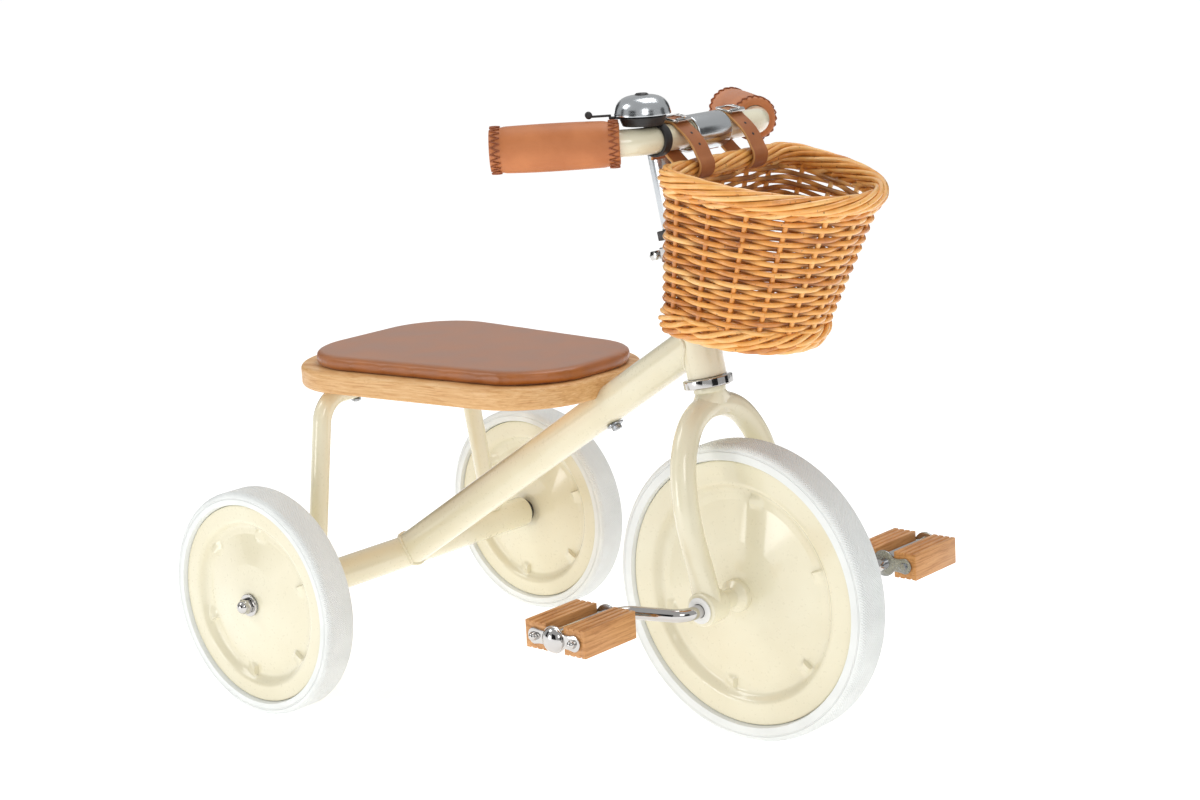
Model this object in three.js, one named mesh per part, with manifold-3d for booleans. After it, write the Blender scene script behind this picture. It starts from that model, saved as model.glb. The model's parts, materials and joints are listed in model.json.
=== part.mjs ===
// A child's tricycle: a cream painted tube frame with a beech seat, a front wheel driven
// by its own crank and pedals, a swept handlebar with a bell, and a wicker basket.
// Millimetres, +X forward, +Y to the rider's left, +Z up, standing on z = 0.
import * as THREE from 'three';
import { mergeVertices } from 'three/addons/utils/BufferGeometryUtils.js';
import Module from 'manifold-3d';

const manifold = await Module();
manifold.setup();

// ---------- driving dimensions ----------
const GAP = 0.3;                    // left between touching pieces
const WHEELBASE = 480;
const TRACK = 426;                  // between the middles of the rear wheels
const FRONT_RADIUS = 150;
const REAR_RADIUS = 120;
const HEAD_TILT = THREE.MathUtils.degToRad(10.8);
const MAIN_RISE = THREE.MathUtils.degToRad(32.6);

const MAIN_TUBE = { radius: 19, wall: 1.8 };
const AXLE_TUBE = { radius: 17.5, wall: 2, half: 186 };
const HEAD_TUBE = { radius: 19.5, bore: 15.2, bottom: 214.5, top: 331 };
const HOOP = { radius: 10, foot: 138, corner: 107.5, top: 316.7, bend: 32 };

const FORK = { radius: 12.6, foot: 64, waist: 69, crown: 186.5, boss: 15.5, bossHalf: 13 };
const STEERER = { radius: 14.3, bore: 12.3, top: 352 };
const CRANK = { radius: 6.5, throw: 63, knee: 100, hip: 119, end: 213 };
const HUB_TUBE = { radius: 14.5, half: 51, flange: 16.5, flangeEnd: 25, neck: 9.4, neckStart: 30 };

const BAR = { radius: 12.8, forward: 52.5, height: 447.5, straight: 72, bend: 40 };
const BAR_SWEEP = THREE.MathUtils.degToRad(50);
const GRIP = { radius: 22.2, length: 120, start: 0.5 };
const STEM = { radius: 11.9, post: 15.5, clamp: 17.5, clampHalf: 25 };

const SEAT = { back: -62, front: 309, rearHalf: 135, frontHalf: 102, corner: 86 };
const SEAT_BOTTOM = HOOP.top + HOOP.radius + GAP;
const SEAT_THICK = 22.5;
const CUSHION = { back: -46, front: 303, rearHalf: 122, frontHalf: 89, corner: 76 };
const CUSHION_THICK = 12.5;

const BASKET = { x: 444, z: 426, height: 150, wall: 8, backHalfTop: 99, backHalfBottom: 76,
  depthTop: 160, depthBottom: 119, rimWide: 7.5, rimHigh: 8, headRoom: 21 };
const BASKET_TILT = THREE.MathUtils.degToRad(11.3);
const STRAP = { y: 41, width: 22, thick: 2.5 };

const PEDAL = { inner: 142, outer: 216, blockWide: 26, blockHigh: 27, blockAt: 24, sleeve: 9 };
const BELL = { y: -80, radius: 26, back: 5, band: [7, 17], height: 17.5 };

// ---------- materials ----------
const finish = (color, roughness, metalness) =>
  new THREE.MeshStandardMaterial({ color, roughness, metalness });
const CREAM = finish(0xefe8cd, 0.35, 0.0);
const CHROME = finish(0xc9ccd0, 0.15, 1.0);
const STEEL = finish(0x9a9da1, 0.35, 1.0);
const TYRE = finish(0xecedec, 0.75, 0.0);
const BEECH = finish(0xdeb27d, 0.55, 0.0);
const PEDAL_WOOD = finish(0xcd965a, 0.55, 0.0);
const TAN = finish(0xb4713c, 0.6, 0.0);
const STRAP_TAN = finish(0xb06e3e, 0.6, 0.0);
const WICKER = finish(0xde964b, 0.65, 0.0);
const BLACK = finish(0x282626, 0.5, 0.0);
const NYLON = finish(0xf1f1ee, 0.5, 0.0);

// ---------- solids ----------
function solid(geometry) {
  const bare = geometry.clone();
  bare.deleteAttribute('normal');
  bare.deleteAttribute('uv');
  const merged = mergeVertices(bare, 1e-4);
  return new manifold.Manifold(new manifold.Mesh({
    numProp: 3,
    vertProperties: new Float32Array(merged.attributes.position.array),
    triVerts: new Uint32Array(merged.index.array),
  }));
}

function geometryOf(body) {
  const mesh = body.getMesh();
  const geometry = new THREE.BufferGeometry();
  geometry.setAttribute('position', new THREE.BufferAttribute(mesh.vertProperties, 3));
  geometry.setIndex(new THREE.BufferAttribute(mesh.triVerts, 1));
  return geometry;
}

const join = (...shapes) => geometryOf(shapes.map(solid).reduce((a, b) => a.add(b)));
const cut = (shape, ...tools) =>
  geometryOf(tools.map(solid).reduce((a, b) => a.subtract(b), solid(shape)));

// A cylinder along Y from y0 to y1.
function alongY(radius, y0, y1, sides = 32, x = 0, z = 0) {
  return new THREE.CylinderGeometry(radius, radius, y1 - y0, sides)
    .translate(0, (y0 + y1) / 2, 0).translate(x, 0, z);
}

// A cylinder along Z from z0 to z1, with its own radius at each end.
function alongZ(radius, z0, z1, sides = 32, topRadius = radius) {
  return new THREE.CylinderGeometry(topRadius, radius, z1 - z0, sides)
    .rotateX(Math.PI / 2).translate(0, 0, (z0 + z1) / 2);
}

const ring = (outer, inner, z0, z1, sides = 24) =>
  cut(alongZ(outer, z0, z1, sides), alongZ(inner, z0 - 1, z1 + 1, sides));

const ringY = (outer, inner, y0, y1, sides = 20) =>
  cut(alongY(outer, y0, y1, sides), alongY(inner, y0 - 1, y1 + 1, sides));

const box = (x, y, z, cx = 0, cy = 0, cz = 0) =>
  new THREE.BoxGeometry(x, y, z).translate(cx, cy, cz);

// A turned piece on the Y axis: each profile point is [radius, y].
// It is turned half a facet, so that a flat facet and not an edge faces down.
function turned(profile, sides) {
  const points = profile.map(([radius, y]) => new THREE.Vector2(radius, y));
  return new THREE.LatheGeometry(points, sides).rotateY(Math.PI / sides);
}

// A path of straight runs with round bends, which keeps one station at each end of a
// straight and a few around each bend.
class BentPath extends THREE.Curve {
  constructor(corners, bend, bendSteps = 6) {
    super();
    this.stations = [];
    corners.forEach((corner, i) => {
      if (i === 0 || i === corners.length - 1) {
        const other = corners[i === 0 ? 1 : i - 1];
        const along = other.clone().sub(corner).normalize();
        this.stations.push({ point: corner, tangent: i === 0 ? along : along.negate() });
        return;
      }
      this.addBend(corners[i - 1], corner, corners[i + 1], bend, bendSteps);
    });
    this.steps = this.stations.length - 1;
  }

  addBend(before, corner, after, bend, bendSteps) {
    const a = before.clone().sub(corner).normalize();
    const b = after.clone().sub(corner).normalize();
    const half = a.angleTo(b) / 2;
    const middle = a.clone().add(b).normalize();
    const centre = corner.clone().addScaledVector(middle, bend / Math.sin(half));
    const start = corner.clone().addScaledVector(a, bend / Math.tan(half)).sub(centre);
    const axis = a.clone().cross(b).normalize();
    const turn = Math.PI - 2 * half;
    for (let k = 0; k <= bendSteps; k++) {
      const spoke = start.clone().applyAxisAngle(axis, -turn * k / bendSteps);
      const tangent = a.clone().negate().applyAxisAngle(axis, -turn * k / bendSteps);
      this.stations.push({ point: centre.clone().add(spoke), tangent });
    }
  }

  getPoint(t, target = new THREE.Vector3()) {
    const at = t * this.steps;
    const i = Math.min(Math.floor(at), this.steps - 1);
    return target.lerpVectors(this.stations[i].point, this.stations[i + 1].point, at - i);
  }

  getPointAt(t, target) { return this.getPoint(t, target); }

  getTangentAt(t, target = new THREE.Vector3()) {
    return target.copy(this.stations[Math.round(t * this.steps)].tangent);
  }
}

const v3 = (x, y, z) => new THREE.Vector3(x, y, z);
const circle = (radius) => new THREE.Shape().absarc(0, 0, radius, 0, Math.PI * 2, false);

function rod(path, radius, sides, steps = path.steps) {
  return new THREE.ExtrudeGeometry(circle(radius), {
    steps, extrudePath: path, curveSegments: sides / 2, bevelEnabled: false,
  });
}

// ---------- scene graph ----------
const tricycle = new THREE.Group();

function add(name, geometry, material, parent = tricycle) {
  const mesh = new THREE.Mesh(geometry, material);
  mesh.name = name;
  parent.add(mesh);
  return mesh;
}

// The steering frame: its origin is the front axle and its +Z is the steering axis.
const steering = new THREE.Group();
steering.position.set(WHEELBASE, 0, FRONT_RADIUS);
steering.rotation.y = -HEAD_TILT;
tricycle.add(steering);

const toSteering = (geometry) => geometry.rotateY(-HEAD_TILT)
  .translate(WHEELBASE, 0, FRONT_RADIUS);

// ---------- frame ----------
// A round bar along the main tube's line, which climbs from the rear axle to the head tube.
const HEAD_MEET = (() => {
  const slope = Math.tan(MAIN_RISE);
  const lean = Math.tan(HEAD_TILT);
  const x = (WHEELBASE + lean * (FRONT_RADIUS - REAR_RADIUS)) / (1 + lean * slope);
  return x / Math.cos(MAIN_RISE);
})();

const alongMain = (radius, from, to, sides = 32) => alongZ(radius, from, to, sides)
  .rotateY(Math.PI / 2 - MAIN_RISE).translate(0, 0, REAR_RADIUS);

const headClearance = toSteering(alongZ(HEAD_TUBE.radius + GAP, 150, 400, 20));
const axleClearance = alongY(AXLE_TUBE.radius + GAP, -160, 160, 20, 0, REAR_RADIUS);

const SEAT_BOLT = { along: 364, radius: 3 };
const seatBoltHole = (radius, from, to) => alongZ(radius, from, to, 16)
  .rotateY(-MAIN_RISE)
  .translate(SEAT_BOLT.along * Math.cos(MAIN_RISE), 0,
    REAR_RADIUS + SEAT_BOLT.along * Math.sin(MAIN_RISE));

add('main_tube', cut(
  alongMain(MAIN_TUBE.radius, 6, HEAD_MEET, 20),
  alongMain(MAIN_TUBE.radius - MAIN_TUBE.wall, 0, HEAD_MEET + 10, 16),
  headClearance, axleClearance, seatBoltHole(SEAT_BOLT.radius + GAP, -30, 30),
), CREAM);

add('axle_tube', ringY(AXLE_TUBE.radius, AXLE_TUBE.radius - AXLE_TUBE.wall,
  -AXLE_TUBE.half, AXLE_TUBE.half).translate(0, 0, REAR_RADIUS), CREAM);

add('head_tube', toSteering(
  ring(HEAD_TUBE.radius, HEAD_TUBE.bore, HEAD_TUBE.bottom, HEAD_TUBE.top)), CREAM);

const hoopPath = new BentPath([
  v3(0, -HOOP.foot, REAR_RADIUS), v3(0, -HOOP.corner, HOOP.top),
  v3(0, HOOP.corner, HOOP.top), v3(0, HOOP.foot, REAR_RADIUS),
], HOOP.bend, 5);
const SEAT_SCREW = { y: 60, radius: 2.6, head: 5.5 };
const screwHole = (side) => alongZ(SEAT_SCREW.radius + GAP, HOOP.top - 12, SEAT_BOTTOM + 13, 12)
  .translate(0, side * SEAT_SCREW.y, 0);
add('seat_hoop', cut(rod(hoopPath, HOOP.radius, 12), axleClearance, screwHole(-1), screwHole(1)),
  CREAM);

// ---------- seat ----------
// A board outline: wide at the back, narrower in front, with round corners.
function seatOutline({ back, front, rearHalf, frontHalf, corner }) {
  const corners = [[back, -rearHalf], [front, -frontHalf], [front, frontHalf], [back, rearHalf]]
    .map(([x, y]) => v3(x, y, 0));
  const loop = [...corners, ...corners.slice(0, 2)];
  const outline = new THREE.Shape();
  for (let i = 1; i <= 4; i++) {
    const bend = new BentPath([loop[i - 1], loop[i], loop[i + 1]], corner, 7);
    bend.stations.slice(1, -1).forEach(({ point }, k) => {
      if (i === 1 && k === 0) outline.moveTo(point.x, point.y);
      else outline.lineTo(point.x, point.y);
    });
  }
  return outline.closePath();
}

function slab(outline, z0, thick, bevel, bevelSegments) {
  return new THREE.ExtrudeGeometry(outline, {
    depth: thick - 2 * bevel, steps: 1, bevelEnabled: true, bevelThickness: bevel,
    bevelSize: bevel, bevelOffset: -bevel, bevelSegments,
  }).translate(0, 0, z0 + bevel);
}

add('seat_board', cut(
  slab(seatOutline(SEAT), SEAT_BOTTOM, SEAT_THICK, 4, 1),
  alongMain(MAIN_TUBE.radius + GAP, 200, 480),
  screwHole(-1), screwHole(1), seatBoltHole(SEAT_BOLT.radius + GAP, -30, 38),
), BEECH);

add('seat_cushion', slab(seatOutline(CUSHION), SEAT_BOTTOM + SEAT_THICK + GAP,
  CUSHION_THICK, 5, 2), TAN);

// Each screw comes up through the hoop into the board.
for (const [name, side] of [['left', 1], ['right', -1]]) {
  const bottom = HOOP.top - HOOP.radius;
  add(`seat_screw_${name}`, join(
    alongZ(SEAT_SCREW.head, bottom - 3.6, bottom - GAP, 12),
    alongZ(SEAT_SCREW.radius, bottom - 1, SEAT_BOTTOM + 12, 12),
  ).translate(0, side * SEAT_SCREW.y, 0), STEEL);
}

// The seat bolt crosses the main tube and holds the front of the board down on it.
const underTube = -MAIN_TUBE.radius - GAP;
add('seat_bolt', join(
  seatBoltHole(9, underTube - 2, underTube),
  seatBoltHole(5.8, underTube - 7, underTube - 1),
  seatBoltHole(SEAT_BOLT.radius, underTube - 5, 31),
), STEEL);

// ---------- rear axle ----------
const WHEEL_HALF = 19;
const HUB_HALF = 19.5;
const wheelY = TRACK / 2;
const hubEnd = wheelY + HUB_HALF;
const axleGroup = new THREE.Group();
axleGroup.position.z = REAR_RADIUS;
tricycle.add(axleGroup);

add('rear_axle', alongY(5, -hubEnd - 9, hubEnd + 9, 16), STEEL, axleGroup);

function acornNut(radius, bore, depth) {
  const hex = new THREE.CylinderGeometry(radius, radius, 7, 6).translate(0, 3.5, 0);
  const dome = new THREE.SphereGeometry(radius * 0.82, 12, 6).translate(0, 6, 0);
  return cut(join(hex, dome), alongY(bore, -1, depth, 16));
}

for (const [name, side] of [['left', 1], ['right', -1]]) {
  const facing = side > 0 ? 0 : Math.PI;
  const bushInner = AXLE_TUBE.half + GAP;
  add(`axle_bush_${name}`, ringY(13.5, 5 + GAP, bushInner, wheelY - HUB_HALF - GAP)
    .rotateZ(facing), BLACK, axleGroup);
  add(`axle_washer_${name}`, ringY(12, 5 + GAP, hubEnd + GAP, hubEnd + 2)
    .rotateZ(facing), CHROME, axleGroup);
  add(`axle_nut_${name}`, acornNut(8.5, 5 + GAP, 8).translate(0, hubEnd + 2 + GAP, 0)
    .rotateZ(facing), CHROME, axleGroup);
}

// ---------- wheels ----------
// A solid tyre: flat sides, round shoulders and a bore that the discs sit in.
function tyre(flatRadius, rimRadius, half, sides) {
  const shoulder = 13;
  const radius = flatRadius / Math.cos(Math.PI / sides);
  const profile = [[rimRadius + 0.4, -half + 3], [rimRadius + 3, -half]];
  for (let k = 0; k <= 3; k++) {
    const a = k / 3 * Math.PI / 2;
    profile.push([radius - shoulder + shoulder * Math.sin(a),
      -half + shoulder - shoulder * Math.cos(a)]);
  }
  const upper = profile.map(([r, y]) => [r, -y]).reverse();
  return turned([...profile, ...upper, profile[0]], sides);
}

// A pressed wheel disc: a flat outer ring, a groove, and a shallow cone up to the hub.
function disc(rim, bore, half, sides) {
  const face = [[rim, half - 6], [rim * 0.8, half - 4.2], [rim * 0.755, half - 9.5],
    [rim * 0.72, half - 9.3], [rim * 0.42, half - 4], [bore, half - 1.4]];
  const back = face.map(([r, y], i) => [i === 0 ? r - 1.6 : r, i === 0 ? y : y - 1.8]).reverse();
  return turned([...face, ...back, face[0]], sides);
}

const FRONT_SIDES = 28;
const REAR_SIDES = 24;
const frontRim = FRONT_RADIUS - 16.6;
const frontWheel = new THREE.Group();
frontWheel.position.set(WHEELBASE, 0, FRONT_RADIUS);
tricycle.add(frontWheel);

add('front_tyre', tyre(FRONT_RADIUS, frontRim, WHEEL_HALF + 1, FRONT_SIDES), TYRE, frontWheel);
const frontDisc = () => disc(frontRim, HUB_TUBE.radius + GAP, WHEEL_HALF + 1, FRONT_SIDES);
add('front_disc_left', frontDisc(), CREAM, frontWheel);
add('front_disc_right', frontDisc().rotateZ(Math.PI), CREAM, frontWheel);
// The front hub fits the discs' bores, has a flange outside each, and narrows to a neck at the fork.
const flangeStart = WHEEL_HALF + GAP;
const hubEndProfile = [[HUB_TUBE.radius, flangeStart], [HUB_TUBE.flange, flangeStart],
  [HUB_TUBE.flange, HUB_TUBE.flangeEnd], [HUB_TUBE.neck, HUB_TUBE.neckStart],
  [HUB_TUBE.neck, HUB_TUBE.half], [CRANK.radius + GAP, HUB_TUBE.half]];
const hubProfile = [...hubEndProfile.map(([r, y]) => [r, -y]).reverse(), ...hubEndProfile];
add('front_hub', turned([...hubProfile, hubProfile[0]], 20), CREAM, frontWheel);

const rearRim = REAR_RADIUS - 14.2;
const rearBore = 11;
for (const [name, side] of [['left', 1], ['right', -1]]) {
  const wheel = new THREE.Group();
  wheel.position.set(0, side * wheelY, REAR_RADIUS);
  wheel.rotation.z = side > 0 ? 0 : Math.PI;
  tricycle.add(wheel);
  add(`rear_tyre_${name}`, tyre(REAR_RADIUS, rearRim, WHEEL_HALF, REAR_SIDES), TYRE, wheel);
  const rearDisc = () => disc(rearRim, rearBore + GAP, WHEEL_HALF, REAR_SIDES);
  add(`rear_disc_outer_${name}`, rearDisc(), CREAM, wheel);
  add(`rear_disc_inner_${name}`, rearDisc().rotateZ(Math.PI), CREAM, wheel);
  add(`rear_hub_${name}`, ringY(rearBore, 5 + GAP, -HUB_HALF, HUB_HALF), STEEL, wheel);
}

// ---------- crank and pedals ----------
const crankPath = new BentPath([
  v3(-CRANK.throw, -CRANK.end, 0), v3(-CRANK.throw, -CRANK.hip, 0), v3(0, -CRANK.knee, 0),
  v3(0, CRANK.knee, 0), v3(CRANK.throw, CRANK.hip, 0), v3(CRANK.throw, CRANK.end, 0),
], 16, 4);
add('crank', rod(crankPath, CRANK.radius, 10), CHROME, frontWheel);

// A wooden block with three grooves along its top and its bottom.
function pedalBlock() {
  const { blockWide, blockHigh, inner, outer } = PEDAL;
  const length = outer - inner - 2 * 0.4;
  const outline = new THREE.Shape();
  const half = blockHigh / 2;
  const grooves = [-0.27, 0, 0.27].map((f) => f * blockWide);
  outline.moveTo(-blockWide / 2, -half);
  grooves.forEach((x) => {
    outline.lineTo(x - 1.3, -half);
    outline.lineTo(x, -half + 2);
    outline.lineTo(x + 1.3, -half);
  });
  outline.lineTo(blockWide / 2, -half);
  outline.lineTo(blockWide / 2, half);
  grooves.reverse().forEach((x) => {
    outline.lineTo(x + 1.3, half);
    outline.lineTo(x, half - 2);
    outline.lineTo(x - 1.3, half);
  });
  outline.lineTo(-blockWide / 2, half);
  return new THREE.ExtrudeGeometry(outline, { depth: length, bevelEnabled: false })
    .rotateX(-Math.PI / 2).translate(0, inner + 0.4, 0);
}

// The end plate's outline: three round lobes joined by two narrow necks.
function dogBone(y0, thick) {
  const lobe = (x, radius) => alongY(radius, y0, y0 + thick, 12, x, 0);
  return join(lobe(-PEDAL.blockAt, 7.5), lobe(PEDAL.blockAt, 7.5), lobe(0, 11),
    box(2 * PEDAL.blockAt, thick, 9, 0, y0 + thick / 2, 0));
}

function capNut(x, y0) {
  return join(alongY(4.6, y0, y0 + 3.4, 6, x, 0),
    new THREE.SphereGeometry(3.6, 8, 5).translate(x, y0 + 3.2, 0));
}

for (const [name, side] of [['left', 1], ['right', -1]]) {
  const pedal = new THREE.Group();
  pedal.position.x = side * CRANK.throw;
  pedal.rotation.z = side > 0 ? 0 : Math.PI;
  frontWheel.add(pedal);
  const block = (x) => pedalBlock().translate(x, 0, 0);
  add(`pedal_block_front_${name}`, block(side * PEDAL.blockAt), PEDAL_WOOD, pedal);
  add(`pedal_block_rear_${name}`, block(-side * PEDAL.blockAt), PEDAL_WOOD, pedal);
  add(`pedal_sleeve_${name}`,
    ringY(PEDAL.sleeve, CRANK.radius + 0.4, PEDAL.inner + 0.4, PEDAL.outer - 0.4, 16), CHROME, pedal);
  const dome = new THREE.SphereGeometry(10.5, 12, 8).scale(1, 0.75, 1)
    .translate(0, PEDAL.outer + 1.5, 0);
  const outside = cut(join(dogBone(PEDAL.outer, 2), dome, capNut(-PEDAL.blockAt, PEDAL.outer + 1.5),
    capNut(PEDAL.blockAt, PEDAL.outer + 1.5)), box(90, 20, 40, 0, PEDAL.outer - 10, 0));
  add(`pedal_end_plate_${name}`, outside, CHROME, pedal);
  const boltHead = (x) => alongY(4.4, PEDAL.inner - 5.5, PEDAL.inner - 1, 6, x, 0);
  add(`pedal_inner_plate_${name}`, cut(
    join(dogBone(PEDAL.inner - 2, 2), boltHead(-PEDAL.blockAt), boltHead(PEDAL.blockAt)),
    alongY(CRANK.radius + 0.4, PEDAL.inner - 8, PEDAL.inner + 4, 12)), STEEL, pedal);
}

// ---------- fork and headset ----------
const legPoints = [[FORK.foot, 4], [FORK.foot + 1.5, 34], [FORK.waist, 76], [FORK.waist - 2, 112],
  [56.5, 148], [34, 176], [0, FORK.crown]];
const forkSide = (side) => legPoints.map(([y, z]) => v3(0, side * y, z));
const forkPath = new THREE.CatmullRomCurve3(
  [...forkSide(-1), ...forkSide(1).reverse().slice(1)], false, 'centripetal');
const boss = (side, radius, extra) => alongY(radius, side * FORK.foot - FORK.bossHalf - extra,
  side * FORK.foot + FORK.bossHalf + extra, 16);
const bushBore = 10.8;
add('fork', cut(
  join(rod(forkPath, FORK.radius, 12, 22), boss(-1, FORK.boss, 0), boss(1, FORK.boss, 0),
    alongZ(STEERER.radius, FORK.crown, STEERER.top, 16)),
  boss(-1, bushBore, 1), boss(1, bushBore, 1),
  alongZ(STEERER.bore, FORK.crown + 18, STEERER.top + 1, 16),
), CREAM, steering);

for (const [name, side] of [['left', 1], ['right', -1]]) {
  const bossOuter = FORK.foot + FORK.bossHalf;
  const bush = cut(
    join(alongY(bushBore - GAP, FORK.foot - FORK.bossHalf, bossOuter + 1, 20),
      alongY(13, bossOuter + GAP, bossOuter + 2.6, 20)),
    alongY(CRANK.radius + 0.4, 40, 90, 20));
  add(`fork_bush_${name}`, bush.rotateZ(side > 0 ? 0 : Math.PI), NYLON, steering);
}

const crownTop = FORK.crown + FORK.radius + GAP;
add('crown_race', ring(16, STEERER.radius + GAP, crownTop, 204.2), CREAM, steering);
add('headset_cup', toSteering(
  ring(25, STEERER.radius + 0.6, 204.5, HEAD_TUBE.bottom - GAP, 28)), CHROME);

// The upper collar has two ears, drawn together by a pinch bolt behind the head tube.
const ear = (y) => box(12, 4, 9, -25, y, 339);
add('headset_collar', toSteering(cut(
  join(alongZ(22, HEAD_TUBE.top + GAP, 346, 24), ear(-3.5), ear(3.5), alongY(3, -12, 12, 12, -27, 339),
    alongY(5.2, -13, -5, 6, -27, 339), alongY(5.2, 5, 13, 6, -27, 339)),
  alongZ(STEERER.radius + 0.6, 320, 360, 20))), CHROME);
const nutSpan = [STEERER.top + GAP, 361.5];
add('locknut', cut(alongZ(21, ...nutSpan, 8), alongZ(STEM.radius + GAP, 340, 370, 20)), BLACK,
  steering);

// ---------- stem and handlebar ----------
const bore = 4.6;
const clampAt = (shape) => shape.translate(BAR.forward, 0, BAR.height);
const neck = new BentPath([v3(-2, 0, BAR.height - 11), v3(BAR.forward, 0, BAR.height)], 1);
add('stem', cut(
  join(alongZ(STEM.radius, 236, BAR.height, 20), rod(neck, 11, 12),
    alongZ(STEM.post, nutSpan[1] + GAP, BAR.height + 3, 20),
    clampAt(alongY(STEM.clamp, -STEM.clampHalf, STEM.clampHalf, 20))),
  clampAt(alongY(BAR.radius + GAP, -40, 40, 16)), alongZ(bore, 220, 470, 16),
), CHROME, steering);
add('stem_bolt', join(
  alongZ(bore - GAP, 214, BAR.height + 6, 16), alongZ(8, BAR.height + 3.3, BAR.height + 9, 6),
  alongZ(STEM.radius - GAP, 212, 235.5, 20),
), STEEL, steering);

// The bar: straight in the middle, then swept back on both sides, level with the ground.
const handlebar = new THREE.Group();
handlebar.position.set(BAR.forward, 0, BAR.height);
handlebar.rotation.y = HEAD_TILT;
steering.add(handlebar);

const sweepLength = BAR.bend * Math.tan(BAR_SWEEP / 2);
const kneeY = BAR.straight + sweepLength;
const gripDirection = v3(-Math.sin(BAR_SWEEP), Math.cos(BAR_SWEEP), 0);
const gripStart = v3(0, kneeY, 0).addScaledVector(gripDirection, sweepLength + GRIP.start);
const barEnd = gripStart.clone().addScaledVector(gripDirection, GRIP.length - 8);
const mirrorY = (v) => v3(v.x, -v.y, v.z);
const barPath = new BentPath([mirrorY(barEnd), v3(0, -kneeY, 0), v3(0, kneeY, 0), barEnd],
  BAR.bend, 6);
add('handlebar', rod(barPath, BAR.radius, 14), CREAM, handlebar);

for (const [name, side] of [['left', 1], ['right', -1]]) {
  const { radius, length } = GRIP;
  const outside = turned([[0, 0], [radius - 1.5, 0], [radius, 2], [radius - 0.4, length / 2],
    [radius, length - 4], [radius - 3, length], [0, length]], 20);
  const sleeve = cut(outside, alongY(BAR.radius + GAP, -1, length - 8 + GAP, 14));
  const grip = add(`grip_${name}`, sleeve, TAN, handlebar);
  grip.position.set(gripStart.x, side * gripStart.y, 0);
  grip.rotation.z = side > 0 ? BAR_SWEEP : Math.PI - BAR_SWEEP;
}

// ---------- bell ----------
const bell = new THREE.Group();
bell.position.set(-BELL.back, BELL.y, 0);
handlebar.add(bell);
const bandOuter = BAR.radius + 3.3;
const baseBottom = bandOuter - 1.5;
const baseTop = baseBottom + 9;
const pivot = { x: -15, y: -15, post: 1.6 };
const atPivot = (geometry) => geometry.translate(pivot.x, pivot.y, 0);
const pocketFloor = baseTop - 3.6;
const baseBody = cut(
  join(alongZ(19, baseBottom, baseTop, 20, 22.5), alongY(bandOuter, ...BELL.band, 20, BELL.back, 0),
    alongZ(3.2, baseTop - 1, baseTop + 14, 12), box(10, 9, 6, BELL.back - 17, 12, -4)),
  alongY(BAR.radius + GAP, -30, 30, 16, BELL.back, 0),
  atPivot(alongZ(5, pocketFloor, baseTop + 1, 16)),
  box(20, 20, 10, -21, -21, pocketFloor + 5),
);
add('bell_base', join(baseBody, atPivot(alongZ(pivot.post, pocketFloor - 1, baseTop - 0.4, 12))),
  BLACK, bell);

const domeProfile = (radius, height, z0) => {
  const points = [];
  for (let k = 0; k <= 4; k++) {
    const a = k / 4 * Math.PI / 2;
    points.push([radius * Math.pow(Math.cos(a), 0.7), z0 + height * Math.pow(Math.sin(a), 0.9)]);
  }
  return points;
};
const domeHeight = BELL.height;
const domeBottom = baseTop + 1;
const domeOutside = domeProfile(BELL.radius, domeHeight, domeBottom).slice(0, -1);
const domeInside = domeProfile(BELL.radius - 1.5, domeHeight - 1.5, domeBottom).slice(0, -1);
const hole = 3.6;
const domeOutline = [...domeOutside, [hole, domeBottom + domeHeight],
  [hole, domeBottom + domeHeight - 1.5], ...domeInside.reverse()];
add('bell_dome', turned([...domeOutline, domeOutline[0]], 24).rotateX(Math.PI / 2), CHROME, bell);
const capBottom = domeBottom + domeHeight + GAP;
add('bell_cap', alongZ(6.5, capBottom, capBottom + 2, 16, 5), BLACK, bell);

// The thumb lever turns on the post in the base and points along the grip.
const lever = new THREE.Group();
lever.position.set(pivot.x, pivot.y, pocketFloor + 1.9);
lever.rotation.z = -Math.PI * 0.75;
bell.add(lever);
const armThick = 2.4;
add('bell_lever', cut(
  join(alongZ(4.5, 0, armThick, 16), box(27, 5, armThick, 16, 0, armThick / 2),
    box(5, 12, 8, 30, 0, 4)),
  alongZ(pivot.post + GAP, -1, armThick + 1, 12),
), BLACK, lever);

// ---------- basket ----------
// The outline: flat at the back with round corners, and half an ellipse in front.
function dee(half, depth, back) {
  const corner = 20;
  const waist = back + (depth - back) * 0.3;
  const outline = new THREE.Shape();
  outline.moveTo(back + corner, -half);
  outline.absellipse(waist, 0, depth - waist, half, -Math.PI / 2, Math.PI / 2, false);
  outline.lineTo(back + corner, half);
  outline.absarc(back + corner, half - corner, corner, Math.PI / 2, Math.PI, false);
  outline.absarc(back + corner, corner - half, corner, Math.PI, Math.PI * 1.5, false);
  return outline;
}

// A wall that widens from its bottom outline to its top one; the flat back stays upright.
function widened(half, depth, back, z0, z1) {
  const { height, backHalfTop, backHalfBottom, depthTop, depthBottom } = BASKET;
  const geometry = new THREE.ExtrudeGeometry(dee(half, depth, back),
    { depth: z1 - z0, steps: 1, curveSegments: 6, bevelEnabled: false }).translate(0, 0, z0);
  const position = geometry.attributes.position;
  for (let i = 0; i < position.count; i++) {
    const rise = position.getZ(i) / height;
    const forward = position.getX(i) - back;
    position.setX(i, back + forward * (1 + (depthTop / depthBottom - 1) * rise));
    position.setY(i, position.getY(i) * (1 + (backHalfTop / backHalfBottom - 1) * rise));
  }
  return geometry;
}

const basket = new THREE.Group();
basket.position.set(BASKET.x, 0, BASKET.z);
basket.rotation.y = BASKET_TILT;
tricycle.add(basket);

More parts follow.
